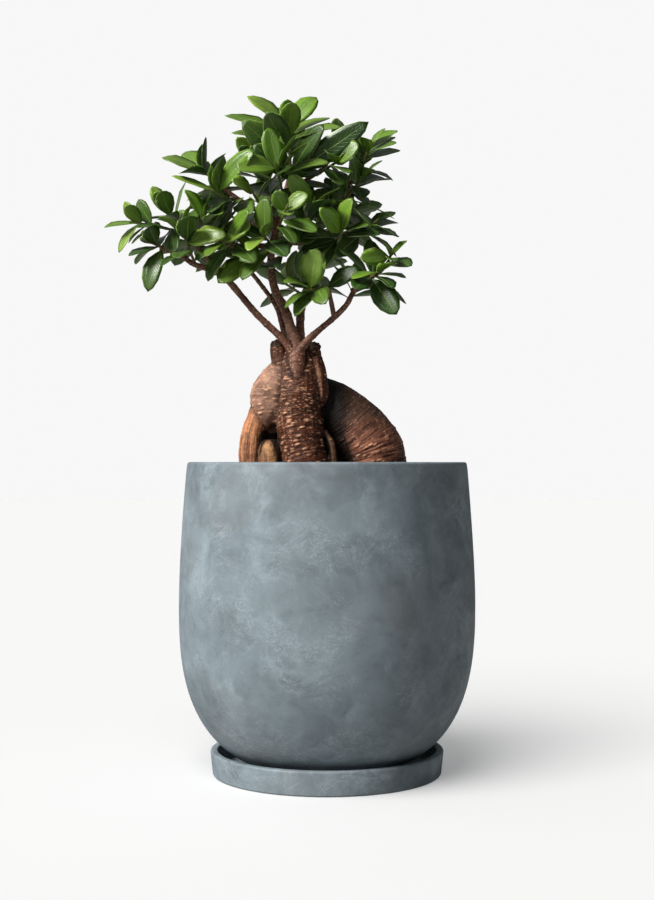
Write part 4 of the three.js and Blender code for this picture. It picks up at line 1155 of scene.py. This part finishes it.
# %% Branch bark
def branch_bark():
    """Brown bark with dark rings and pale dashes, redder at the grafts."""
    material, tree, shader = new_finish("branch_bark", 0.55, 0.4)
    place, grain_here = object_place(tree), attribute(tree, "grain", "Vector")
    patchy = placed(tree, CLOUDS, {"Place": place, "Scale": 90.0, "Pull": 1.0})["Clouds"]
    body = blend(tree, ramp(tree, patchy, 0.36, 0.64), rgb(96, 60, 45), rgb(152, 108, 84))
    ring = rings(tree, grain_here, LIMB_RINGS)
    body = blend(tree, ramp(tree, ring, 0.52, 0.34, 0.0, 0.7), body, rgb(52, 32, 24))
    height = add(tree, "ShaderNodeSeparateXYZ", {0: place}).outputs[2]
    graft = ramp(tree, height, RIM + 88 * MM, RIM + 112 * MM, 0.6, 0.0)
    body = blend(tree, graft, body, blend(tree, ring, rgb(62, 33, 22), rgb(140, 84, 60)))
    pale = dashes(tree, grain_here, 0.34, (520.0, 520.0, 520.0))
    body = blend(tree, times(tree, pale, 0.7), body, rgb(204, 164, 136))
    tree.links.new(body, shader.inputs["Base Color"])
    tree.links.new(ramp(tree, ring, 0.3, 0.7, 0.66, 0.46), shader.inputs["Roughness"])
    relief(tree, shader, calc(tree, "ADD", ring, times(tree, pale, 0.5)), 0.0005, 0.8)
    return material


branch_paths = {name: smooth_path(stations, 6) for name, stations in BRANCHES.items()}
branch_work = workpiece("branch_work", path_curves("branch_paths", branch_paths.values()))
BRANCH_BARK = branch_bark()
branch_mesh = grown(branch_work, LIMBS, {"Bark": BRANCH_BARK})
shown("grafted_branches", branch_mesh, BRANCH_BARK, list(BRANCHES))


# %% The dark seam where each graft enters the rootstock
SEAM_MIDDLE, SEAM_WIDTH = 1.12, 0.34  # in branch radii from the branch's middle line

spots = places_of(root_skin)
seam = np.zeros(len(spots))
for name in ("main_stem", "left_branch", "right_branch"):
    away = nearest_on_path(spots, branch_paths[name])[0]
    seam = np.maximum(seam, np.clip(1 - np.abs(away - SEAM_MIDDLE) / SEAM_WIDTH, 0, 1))
store(root_skin, "seam", "FLOAT", seam)
print("seam points:", int((seam > 0).sum()))


# %% [markdown]
# ## Where the leaves stand
#
# Fig leaves come one by one up a shoot, each a golden angle on from the last, so that they don't shade each other.
# The lowest stand out nearly level and the young ones at the tip point onwards. The CAD model lays its leaves out by
# that rule, and the looks have to follow the same leaves, so the rule and its tables are given again here. A leaf that
# would cut another is nudged round its shoot until its room is free, and is left out if no nudge helps.

# %% The sprays and the leaves that stand out of the crown
# A spray: shoot base, shoot tip, number of leaves, leaf length, turn of the lowest leaf in degrees.
SPRAYS = {
    "apex": [[-30, -2, 240], [-33, -7, 282], 7, 40, 50],
    "apex_right": [[-6, 12, 248], [10, 8, 266], 8, 42, 75],
    "apex_left": [[-42, 4, 214], [-60, 8, 252], 10, 44, 140],
    "apex_back": [[-33, 0, 234], [-32, 32, 272], 8, 44, 10],
    "right_top": [[21, 26, 243], [36, 4, 266], 7, 34, 200],
    "right_high": [[14, 28, 226], [32, 6, 244], 8, 32, 60],
    "right_middle": [[4, 28, 203], [14, -10, 222], 8, 31, 110],
    "right_side": [[27, -2, 191], [38, -8, 200], 8, 34, 75],
    "right_end": [[51, -14, 167], [53, -20, 172], 6, 24, 250],
    "right_low": [[33, -18, 151], [42, -32, 157], 8, 34, 90],
    "right_under": [[17, -18, 132], [24, -8, 148], 7, 34, 60],
    "low_middle": [[1, -24, 145], [-14, -36, 142], 6, 34, 330],
    "front_shoot": [[-42, -27, 190], [-34, -42, 206], 4, 34, 200],
    "front_low": [[-45, -12, 181], [-52, -38, 186], 6, 38, 300],
    "under_stem": [[-47, 0, 163], [-60, -16, 172], 5, 40, 95],
    "left_high": [[-62, -4, 214], [-92, -24, 224], 8, 38, 70],
    "left_top": [[-93, -8, 237], [-107, -14, 245], 7, 31, 210],
    "left_shoulder": [[-119, -8, 197], [-136, -12, 210], 8, 34, 20],
    "far_left": [[-118, -9, 193], [-158, -22, 199], 8, 30, 100],
    "left_end": [[-136, -20, 178], [-147, -22, 183], 8, 32, 270],
    "left_middle": [[-110, -20, 165], [-120, -30, 192], 9, 36, 30],
    "mid_left_end": [[-96, -18, 188], [-102, -32, 200], 9, 38, 150],
    "mid_left": [[-72, -11, 182], [-86, -34, 182], 8, 40, 230],
    "centre_left": [[-52, -2, 209], [-62, -30, 224], 9, 44, 100],
    "centre_top": [[-36, 0, 222], [-42, -28, 244], 10, 46, 320],
    "centre_right": [[-22, 3, 186], [-12, -24, 214], 10, 42, 10],
    "right_front": [[8, 2, 186], [12, -26, 190], 9, 40, 75],
    "right_crown": [[-8, 12, 246], [6, -14, 250], 9, 44, 120],
    "back_left": [[-77, 37, 211], [-92, 48, 220], 8, 38, 20],
    "back_left_low": [[-77, 43, 183], [-90, 50, 190], 8, 36, 140],
    "back_left_high": [[-80, -7, 225], [-92, 20, 238], 7, 38, 60],
    "back_middle": [[-56, 18, 202], [-52, 44, 222], 9, 44, 200],
    "back_far_left": [[-111, -11, 183], [-118, 20, 192], 7, 34, 330],
    "back_right": [[17, 61, 202], [20, 76, 210], 8, 34, 45],
    "back_centre": [[-4, 26, 184], [-10, 50, 216], 9, 44, 250],
    "back_side": [[8, 30, 212], [24, 48, 218], 7, 34, 160],
    "back_low": [[-12, 59, 165], [-8, 74, 174], 8, 36, 80],
    "back_under": [[-19, 33, 144], [-38, 50, 158], 7, 36, 290],
}

SKY = [-0.2, -0.5, 0.8]
VIEWER = [-0.2, -0.9, 0.35]
SHADE = [0.4, -0.9, 0.1]
LEVEL = [0.5, -0.15, 0.85]

# A leaf: spray, share along its shoot, tip, width, where the upper side faces.
OUTER_LEAVES = [
    ["apex", 0.98, [-65, -14, 309], 22, SKY],
    ["apex", 0.98, [-9, 0, 310], 20, VIEWER],
    ["apex", 0.72, [-84, -14, 295], 20, SKY],
    ["apex", 0.5, [-50, -34, 288], 22, VIEWER],
    ["apex", 0.2, [-67, -34, 281], 24, VIEWER],
    ["apex", 0.85, [2, 14, 297], 18, SKY],
    ["apex", 0.72, [12, -20, 281], 18, SKY],
    ["apex", 0.06, [34, -30, 281], 20, SHADE],
    ["apex", 0.02, [-58, -30, 262], 20, VIEWER],
    ["apex", 0.12, [-4, -28, 280], 19, VIEWER],
    ["apex", 0.6, [-80, -4, 282], 18, SKY],
    ["right_crown", 0.95, [24, -30, 264], 21, VIEWER],
    ["centre_top", 0.95, [-73, -46, 243], 20, VIEWER],
    ["centre_top", 0.7, [2, -42, 246], 18, SKY],
    ["centre_left", 0.9, [-76, -50, 230], 15, VIEWER],
    ["centre_right", 0.9, [-30, -46, 234], 16, VIEWER],
    ["right_front", 0.95, [-4, -50, 206], 17, VIEWER],
    ["right_side", 0.1, [8, -28, 172], 16, SHADE],
    ["right_end", 0.9, [28, -38, 168], 15, SHADE],
    ["right_low", 0.95, [20, -46, 150], 14, SKY],
    ["right_high", 0.6, [21, -16, 257], 18, SHADE],
    ["right_under", 0.9, [8, -26, 170], 17, SKY],
    ["right_top", 0.98, [60, 10, 284], 17, SKY],
    ["right_top", 0.5, [20, -6, 281], 15, SHADE],
    ["right_top", 0.85, [58, -8, 270], 16, SKY],
    ["right_top", 0.7, [63, 14, 268], 18, SKY],
    ["right_middle", 0.98, [58, -14, 204], 15, LEVEL],
    ["right_middle", 0.8, [39, -28, 197], 16, LEVEL],
    ["right_side", 0.4, [62, 2, 193], 18, SKY],
    ["right_end", 0.1, [70, -30, 163], 18, SKY],
    ["right_low", 0.05, [69, -8, 136], 17, SKY],
    ["right_low", 0.4, [57, -42, 121], 21, VIEWER],
    ["low_middle", 0.95, [-9, -48, 174], 23, VIEWER],
    ["low_middle", 0.95, [-34, -50, 149], 20, SKY],
    ["low_middle", 0.4, [-28, -40, 122], 17, SKY],
    ["low_middle", 0.05, [25, -36, 160], 16, VIEWER],
    ["front_shoot", 0.98, [-42, -52, 220], 14, VIEWER],
    ["front_shoot", 0.98, [-16, -48, 219], 15, VIEWER],
    ["front_shoot", 0.6, [-8, -60, 186], 17, SKY],
    ["front_low", 0.2, [-70, -44, 150], 20, SKY],
    ["under_stem", 0.98, [-90, -34, 148], 21, VIEWER],
    ["mid_left", 0.98, [-62, -50, 194], 17, VIEWER],
    ["left_high", 0.97, [-62, -42, 257], 18, VIEWER],
    ["left_high", 0.9, [-128, -34, 237], 15, SKY],
    ["mid_left", 0.9, [-64, -56, 204], 14, VIEWER],
    ["left_middle", 0.6, [-84, -48, 187], 18, VIEWER],
    ["left_top", 0.6, [-138, -14, 257], 18, SKY],
    ["left_top", 0.9, [-121, 10, 267], 17, SKY],
    ["far_left", 0.98, [-185, -28, 195], 12, SKY],
    ["far_left", 0.97, [-174, -30, 175], 11, SKY],
    ["far_left", 0.2, [-158, -40, 196], 16, SKY],
    ["left_end", 0.3, [-164, -34, 172], 15, SKY],
    ["left_end", 0.1, [-149, -32, 142], 17, VIEWER],
]

# %% Sizes and angles of the layout
# Lengths are in millimetres. Nudges are in degrees: round the shoot, and further out from it.
GAP = 0.35
TWIG_RADIUS, BUD_LENGTH, BUD_RADIUS = 1.6, 2.2, 0.7
LEAF_ROOM, LEAF_SLIMNESS = 2.2, 0.52
ROOM_STATIONS = [(0.24, 0.66), (0.36, 1.0), (0.74, 0.82)]
GOLDEN_ANGLE = math.radians(137.508)
LOWEST_LEAN, TIP_LEAN = math.radians(82), math.radians(30)
LIGHT_PULL = 0.22
NUDGES = [(0, 0), (16, 0), (-16, 0), (0, 18), (0, -18), (30, 8), (-30, 8), (48, -6), (-48, -6), (65, 14),
          (-65, 14), (84, 0), (-84, 0), (110, 10), (-110, 10)]
ROOT_SIDES, BRANCH_SIDES, TWIG_SIDES = 12, 6, 4


def scatter(count):
    """A repeatable number from 0 to 1 for each count."""
    return ((count * 7919 + 523) % 1009) / 1009


def between(a, b, share):
    """The value at a share of the way from one to another."""
    return a + (b - a) * share


def leaf_place(foot, tip, width, facing, count, age):
    """A leaf's frame and size, from its foot, its tip and where its upper side faces."""
    along = (tip - foot).normalized()
    upper = (facing - along * facing.dot(along)).normalized()
    return {"foot": foot, "along": along, "upper": upper, "side": along.cross(upper), "length": (tip - foot).length,
            "half_width": width / 2, "arch": between(0.02, 0.2, scatter(count + 617)), "count": count, "age": age}


def shoot_leaf(spray, order, count, nudge):
    """One step of the golden angle on from the leaf below it."""
    base, end, leaves, length, turn = Vector(spray[0]), Vector(spray[1]), *spray[2:]
    axis = (end - base).normalized()
    age = 1 - order / (leaves - 1)
    foot = base.lerp(end, between(1, 0.3, age))
    reference = Vector((1, 0, 0)) if abs(axis.x) < 0.8 else Vector((0, 0, 1))
    across = axis.cross(reference).normalized()
    beyond = axis.cross(across)
    around = math.radians(turn + nudge[0]) + order * GOLDEN_ANGLE
    lean = between(TIP_LEAN, LOWEST_LEAN, age) + math.radians(nudge[1])
    along = axis * math.cos(lean) + (across * math.cos(around) + beyond * math.sin(around)) * math.sin(lean)
    along.z += LIGHT_PULL
    size = length * between(0.66, 1, min(1, age * 1.8)) * between(0.9, 1.1, scatter(count))
    facing = axis * 0.5 + Vector((0, 0, 0.6))
    return leaf_place(foot, foot + along.normalized() * size, size * LEAF_SLIMNESS, facing, count, age)


# %% Room that a leaf or a limb takes
def room(corners, faces):
    """A closed space: a search tree of its faces, and the least and greatest corner of its box."""
    spots = np.array(corners)
    return BVHTree.FromPolygons(corners, faces), spots.min(0), spots.max(0)


def leaf_room(place):
    """The slab of space round a leaf."""
    corners = []
    for share, width in ROOM_STATIONS:
        half = width * place["half_width"] + GAP
        length = place["length"] + 2 * GAP
        middle = place["foot"] + place["along"] * share * length
        rise = place["arch"] * share * (1 - share) * length
        for across, height in ((-half, 1), (-half, -1), (half, -1), (half, 1)):
            corners.append(middle + place["side"] * across + place["upper"] * (height * LEAF_ROOM / 2 + rise))
    corners.append(place["foot"] + place["along"] * (place["length"] + 2 * GAP))
    faces = [(0, 1, 2, 3)]
    for k in range(4):
        n = (k + 1) % 4
        faces += [(k, n, 4 + n, 4 + k), (4 + k, 4 + n, 8 + n, 8 + k), (8 + k, 8 + n, 12)]
    return room(corners, faces)


def limb_room(stations, sides, extra):
    """A limb of the CAD model, swollen by a clearance."""
    path = np.array(stations, float)
    path[:, 3] += extra
    return room(*tube(path, sides))


def is_free(wanted, taken):
    """Whether a room crosses none of the taken ones; boxes are compared first."""
    tree, low, high = wanted
    return not any(
        (low <= other_high).all() and (high >= other_low).all() and tree.overlap(other)
        for other, other_low, other_high in taken
    )


def shoot_stations(spray):
    """A shoot of the CAD model, which ends in a tapering bud."""
    base, end = Vector(spray[0]), Vector(spray[1])
    bud = end + (end - base).normalized() * BUD_LENGTH
    return [[*base, TWIG_RADIUS], [*end, TWIG_RADIUS], [*bud, BUD_RADIUS]]


# %% Lay out every leaf
def lay_out_leaves():
    """The outer leaves where the table puts them, then the leaves of each shoot where there is room."""
    taken = [limb_room(stations, ROOT_SIDES, GAP) for stations in ROOTS.values()]
    taken += [limb_room(stations, BRANCH_SIDES, GAP) for stations in BRANCHES.values()]
    taken += [limb_room(shoot_stations(spray), TWIG_SIDES, 2 * GAP) for spray in SPRAYS.values()]
    places, count = [], 0
    for name, share, tip, width, facing in OUTER_LEAVES:
        count += 1
        foot = Vector(SPRAYS[name][0]).lerp(Vector(SPRAYS[name][1]), share)
        places.append(leaf_place(foot, Vector(tip), width, Vector(facing), count, 1 - share))
        taken.append(leaf_room(places[-1]))
    for spray in SPRAYS.values():
        for order in range(spray[2]):
            count += 1
            for nudge in NUDGES:
                place = shoot_leaf(spray, order, count, nudge)
                wanted = leaf_room(place)
                if is_free(wanted, taken):
                    taken.append(wanted)
                    places.append(place)
                    break
    return places


leaves = lay_out_leaves()
print("leaves:", len(leaves))

# %% [markdown]
# ## Leaf finishes
#
# An old fig leaf is dark, thick and glossy above, with a pale midrib, faint side veins and a thin pale edge. A young
# one at a shoot's tip is bright yellow-green. The underside is matt and paler, and its midrib stands out. The veins are
# worked out from the leaf's own UV map, where one direction runs across the blade and the other along it. A coat layer
# gives the waxy shine of the upper side. A little subsurface light lets both sides glow where the key shines through
# them.

# %% Veins of a leaf
SIDE_VEINS, SLANT = 15.0, 0.42  # pairs along the blade, and how far they sweep forward


def veins_effect():
    """Masks for a leaf's midrib, side veins and edge, from its UV map: 0 to 1 across, and 0 to 1 along."""
    tree, given, out = effect("leaf_veins", {"Across": 0.5, "Along": 0.5, "Wobble": 0.5}, ["Midrib", "Veins", "Edge"])
    off = calc(tree, "ABSOLUTE", centred(tree, given["Across"]))
    width = ramp(tree, given["Along"], 0.0, 1.0, 0.045, 0.012)
    midrib = ramp(tree, calc(tree, "DIVIDE", off, width), 0.55, 1.25, 1.0, 0.0)
    slanted = calc(tree, "SUBTRACT", given["Along"], times(tree, off, SLANT))
    wobble = times(tree, given["Wobble"], 0.5)
    phase = calc(tree, "FRACT", calc(tree, "ADD", times(tree, slanted, SIDE_VEINS), wobble))
    vein = ramp(tree, calc(tree, "ABSOLUTE", centred(tree, phase)), 0.02, 0.14, 1.0, 0.0)
    tree.links.new(midrib, out["Midrib"])
    tree.links.new(times(tree, vein, ramp(tree, off, 0.02, 0.4, 1.0, 0.25)), out["Veins"])
    tree.links.new(ramp(tree, off, 0.45, 0.488), out["Edge"])
    return tree


VEINS = veins_effect()


# %% Upper and under side
def leaf_masks(tree):
    """The vein masks of a leaf material, with the piece's place and a slow mottle."""
    flat = add(tree, "ShaderNodeSeparateXYZ", {0: add(tree, "ShaderNodeUVMap", uv_map="blade").outputs[0]}).outputs
    place = object_place(tree)
    mottle = placed(tree, CLOUDS, {"Place": place, "Scale": 70.0, "Pull": 0.8})["Clouds"]
    masks = placed(tree, VEINS, {"Across": flat[0], "Along": flat[1], "Wobble": mottle})
    return masks, place, mottle


def let_light_through(shader):
    """A leaf is thin enough for the sun to glow through it."""
    shader.inputs["Subsurface Weight"].default_value = 0.22
    shader.inputs["Subsurface Radius"].default_value = (0.5, 1.0, 0.2)
    shader.inputs["Subsurface Scale"].default_value = 0.6 * MM


def upper_side():
    """Glossy green, dark on old leaves and yellow-green on young ones."""
    material, tree, shader = new_finish("leaf_upper_side", 0.38, 0.42)
    let_light_through(shader)
    masks, place, mottle = leaf_masks(tree)
    # Besides its random tone, the tint holds the painted shade of the leaves on the right.
    young, tint_and_painted_shade = attribute(tree, "young"), attribute(tree, "tint_and_painted_shade")
    old = blend(tree, tint_and_painted_shade, rgb(46, 76, 26), rgb(98, 130, 40))
    fresh = blend(tree, tint_and_painted_shade, rgb(116, 158, 40), rgb(156, 186, 70))
    body = blend(tree, young, old, fresh)
    body = blend(tree, ramp(tree, mottle, 0.38, 0.66, 0.0, 0.4), body, rgb(58, 88, 28))
    body = blend(tree, times(tree, masks["Veins"], 0.22), body, rgb(120, 158, 72))
    body = blend(tree, times(tree, masks["Midrib"], 0.6), body, rgb(150, 180, 92))
    body = blend(tree, times(tree, masks["Edge"], 0.75), body, rgb(168, 192, 104))
    tree.links.new(body, shader.inputs["Base Color"])
    tree.links.new(ramp(tree, mottle, 0.3, 0.7, 0.3, 0.42), shader.inputs["Roughness"])
    shader.inputs["Coat Weight"].default_value = 0.22
    shader.inputs["Coat Roughness"].default_value = 0.28
    sunk_veins, sunk_midrib = times(tree, masks["Veins"], 0.8), times(tree, masks["Midrib"], 1.6)
    height = calc(tree, "SUBTRACT", noise(tree, place, 380.0, 2.0), sunk_veins, sunk_midrib)
    relief(tree, shader, height, 0.0004, 0.7)
    return material


def under_side():
    """Matt pale green with a raised midrib."""
    material, tree, shader = new_finish("leaf_under_side", 0.6, 0.25)
    let_light_through(shader)
    masks, _, mottle = leaf_masks(tree)
    body = blend(tree, attribute(tree, "young"), rgb(138, 160, 88), rgb(168, 192, 98))
    body = blend(tree, ramp(tree, mottle, 0.36, 0.66, 0.0, 0.45), body, rgb(108, 132, 72))
    body = blend(tree, times(tree, masks["Veins"], 0.35), body, rgb(146, 168, 104))
    body = blend(tree, times(tree, masks["Midrib"], 0.85), body, rgb(178, 194, 128))
    tree.links.new(body, shader.inputs["Base Color"])
    tree.links.new(ramp(tree, masks["Midrib"], 0.0, 1.0, 0.6, 0.42), shader.inputs["Roughness"])
    height = calc(tree, "ADD", times(tree, masks["Veins"], 0.6), times(tree, masks["Midrib"], 2.0))
    relief(tree, shader, height, 0.0005, 0.8)
    return material


UPPER = upper_side()
UNDER = under_side()
print("leaf finishes ready")

# %% [markdown]
# ## Leaves
#
# There are nearly three hundred leaves, and each is one blade bent to its own place. One closed blade of 56 faces
# is modelled flat: a short stalk, the widest part past the middle, and a blunt point. Geometry Nodes put a copy on
# each leaf's foot and then bend it by that leaf's own numbers: its length, width, arch, how far its halves fold up, how
# its edge waves and how its tip bows down. Instances alone couldn't do this, since an instance can only be moved,
# turned and scaled, so they are realised first and bent after.

# %% The flat blade
# From the foot to the tip: share of the length, and share of half the width.
BLADE_ROWS = [(0.0, 0.05), (0.06, 0.06), (0.15, 0.42), (0.33, 0.87), (0.55, 1.03), (0.76, 0.9), (0.92, 0.5), (1.0, 0.0)]
BLADE_COLUMNS = [-1.0, -0.5, 0.0, 0.5, 1.0]
BLADE_THICKNESS, MIDRIB_SWELL = 0.3 * MM, 1.6


def flat_blade():
    """A closed blade: x across in half widths, y along in lengths, z in metres; both sides share the outline."""
    verts, grid = [], {}
    last_row = len(BLADE_ROWS) - 1
    for level in (1, -1):
        for row, (along, half) in enumerate(BLADE_ROWS):
            for column, across in enumerate(BLADE_COLUMNS):
                on_outline = row in (0, last_row) or abs(across) == 1
                key = (1 if on_outline else level, row, 2 if row == last_row else column)
                if key not in grid:
                    swell = MIDRIB_SWELL if across == 0 and level < 0 else 1
                    thick = 0.0 if on_outline else level * BLADE_THICKNESS * swell
                    grid[key] = len(verts)
                    verts.append((across * half if row < last_row else 0.0, along, thick))
                grid[(level, row, column)] = grid[key]
    faces, uvs, under = [], [], []
    for level in (1, -1):
        for row in range(last_row):
            for column in range(len(BLADE_COLUMNS) - 1):
                corners = [(row, column), (row, column + 1), (row + 1, column + 1), (row + 1, column)]
                if level < 0:
                    corners.reverse()
                face = [grid[(level, *corner)] for corner in corners]
                kept = [i for i, v in enumerate(face) if v not in face[:i]]
                faces.append([face[i] for i in kept])
                uvs += [((BLADE_COLUMNS[corners[i][1]] + 1) / 2, BLADE_ROWS[corners[i][0]][0]) for i in kept]
                under.append(level < 0)
    mesh = bpy.data.meshes.new("flat_blade")
    mesh.from_pydata(verts, [], faces)
    mesh.uv_layers.new(name="blade").data.foreach_set("uv", np.array(uvs).ravel())
    mesh.attributes.new("underside", "BOOLEAN", "FACE").data.foreach_set("value", under)
    mesh.shade_smooth()
    return mesh


blade = bpy.data.objects.new("flat_blade", flat_blade())
print("blade:", len(blade.data.polygons), "faces")

# %% One point for each leaf, with the leaf's own numbers
LIT_FROM, LIT_FADE, SHADED = 20, 80, 0.3  # painted shade: leaves further right are darker, as they lie away from the key on the left
YOUNGEST, AGEING = 1.25, 2.2
YOUTH = (0.45, 1.0)
BENDS = {"fold_up": (0.05, 0.3), "wave": (-0.09, 0.09), "bow": (0.02, 0.13)}  # the least and most of each
TINT_POWER = 1.7  # above 1, most leaves are of the darker green


def leaf_points():
    """A mesh of one point at each leaf's foot, which holds that leaf's measures and its random bends and colour."""
    mesh = bpy.data.meshes.new("leaf_points")
    feet = in_frame([leaf["foot"] for leaf in leaves])
    mesh.from_pydata([tuple(f) for f in feet], [], [])
    shape = np.random.default_rng(SEED)
    count = len(leaves)
    ages = np.array([leaf["age"] for leaf in leaves])
    young = np.clip(YOUNGEST - ages * AGEING, 0, 1) * shape.uniform(*YOUTH, count)
    store(mesh, "foot", "FLOAT_VECTOR", feet)
    for name in ("along", "upper", "side"):
        store(mesh, name, "FLOAT_VECTOR", np.array([leaf[name] for leaf in leaves]))
    for name, unit in (("length", MM), ("half_width", MM), ("arch", 1)):
        store(mesh, name, "FLOAT", np.array([leaf[name] for leaf in leaves]) * unit)
    for name, span in BENDS.items():
        store(mesh, name, "FLOAT", shape.uniform(*span, count))
    store(mesh, "young", "FLOAT", young)
    # Painted shade: the tint darkens towards the right.
    lit_share = np.clip(1 - (feet[:, 0] / MM + LIT_FROM) / LIT_FADE, SHADED, 1)
    store(mesh, "tint_and_painted_shade", "FLOAT", shape.uniform(0.0, 1.0, count) ** TINT_POWER * lit_share)
    return mesh


# %% Place and bend every blade
def leaf_tree():
    """Copy the blade to every point, then bend each copy by the numbers that its point held."""
    tree, given, out = geometry_tree("bend_leaves", {"Upper side": None, "Under side": None, "Waves": 1.6})
    points = add(tree, "GeometryNodeMeshToPoints", {"Mesh": given["Geometry"]}).outputs[0]
    source = add(tree, "GeometryNodeObjectInfo", {"Object": blade}).outputs["Geometry"]
    copies = add(tree, "GeometryNodeInstanceOnPoints", {"Points": points, "Instance": source}).outputs[0]
    real = add(tree, "GeometryNodeRealizeInstances", {0: copies}).outputs[0]
    foot = named(tree, "foot", "FLOAT_VECTOR")
    flat = vector(tree, "SUBTRACT", tree.nodes.new("GeometryNodeInputPosition").outputs[0], foot)
    x, y, z = add(tree, "ShaderNodeSeparateXYZ", {0: flat}).outputs
    half, length = named(tree, "half_width"), named(tree, "length")
    spread = calc(tree, "ABSOLUTE", x)
    ripple = calc(tree, "SINE", times(tree, y, given["Waves"], 2 * math.pi))
    arched = times(tree, named(tree, "arch"), times(tree, y, calc(tree, "SUBTRACT", 1.0, y)), length)
    folded = times(tree, spread, spread, named(tree, "fold_up"), half)
    waved = times(tree, ripple, spread, named(tree, "wave"), half)
    bowed = times(tree, y, y, y, named(tree, "bow"), length)
    lift = calc(tree, "SUBTRACT", calc(tree, "ADD", z, arched, folded, waved), bowed)
    bent = foot
    for name, amount in (("side", times(tree, x, half)), ("along", times(tree, y, length)), ("upper", lift)):
        bent = vector(tree, "ADD", bent, scaled(tree, named(tree, name, "FLOAT_VECTOR"), amount))
    placed_leaves = add(tree, "GeometryNodeSetPosition", {"Geometry": real, "Position": bent}).outputs[0]
    top = add(tree, "GeometryNodeSetMaterial", {"Geometry": placed_leaves, "Material": given["Upper side"]}).outputs[0]
    both = add(tree, "GeometryNodeSetMaterial", {
        "Geometry": top, "Selection": named(tree, "underside", "BOOLEAN"), "Material": given["Under side"],
    }).outputs[0]
    tree.links.new(both, out)
    return tree


leaf_mesh = grown(workpiece("leaf_work", leaf_points()), leaf_tree(), {"Upper side": UPPER, "Under side": UNDER})
bpy.data.objects.remove(blade)
spray_nodes = [f"leaf_spray_{name}" for name in SPRAYS]
shown("fig_leaves", leaf_mesh, [UPPER, UNDER], spray_nodes)

# %% [markdown]
# ## Green shoots
#
# Each spray's leaves sit on a green shoot that ends in a pointed bud. The same tree that swept the branches sweeps
# them, with scars closer together.

# %% Shoots
def shoot_bark():
    """Green bark with fine rings, brown where a shoot leaves its branch."""
    material, tree, shader = new_finish("green_shoot_bark", 0.5, 0.4)
    grain_here = attribute(tree, "grain", "Vector")
    run = add(tree, "ShaderNodeSeparateXYZ", {0: grain_here}).outputs[2]
    body = blend(tree, ramp(tree, run, 0.002, 0.02), rgb(112, 84, 58), rgb(128, 138, 72))
    ring = rings(tree, grain_here, 900.0)
    body = blend(tree, ramp(tree, ring, 0.52, 0.36, 0.0, 0.5), body, rgb(84, 82, 44))
    tree.links.new(body, shader.inputs["Base Color"])
    tree.links.new(ramp(tree, ring, 0.3, 0.7, 0.6, 0.42), shader.inputs["Roughness"])
    relief(tree, shader, ring, 0.0003)
    return material


# How far past the base or the end, and the radius there, in millimetres.
SHOOT_ROOT, SHOOT_MIDDLE_RADIUS = (-1.5, 1.3), 1.15
SHOOT_BUD = [(0, 1.05), (2.5, 1.2), (6, 0.75), (9, 0.12)]


def shoot_path(spray):
    """A shoot's line from its base to the tip of its bud, with its radius, in metres."""
    base, end = np.array(spray[0], float), np.array(spray[1], float)
    axis = (end - base) / np.linalg.norm(end - base)
    past, radius = SHOOT_ROOT
    rows = [(*(base + axis * past), radius), (*between(base, end, 0.5), SHOOT_MIDDLE_RADIUS)]
    rows += [(*(end + axis * past), radius) for past, radius in SHOOT_BUD]
    return in_frame(rows)


SHOOT_BARK = shoot_bark()
shoot_work = workpiece("shoot_work", path_curves("shoot_paths", [shoot_path(s) for s in SPRAYS.values()]))
shoot_mesh = grown(shoot_work, LIMBS, {"Bark": SHOOT_BARK, "Scar spacing": 0.007, "Scar": 0.2, "Gnarl": 0.1})
shown("green_shoots", shoot_mesh, SHOOT_BARK, spray_nodes)

# %% [markdown]
#
# The size of the finished looks is printed at the end. The looks may stand a little proud of the CAD solids, but not
# more.

# %% Print the finished size
low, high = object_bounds()
print("visual size:", [round(v, 3) for v in high - low])
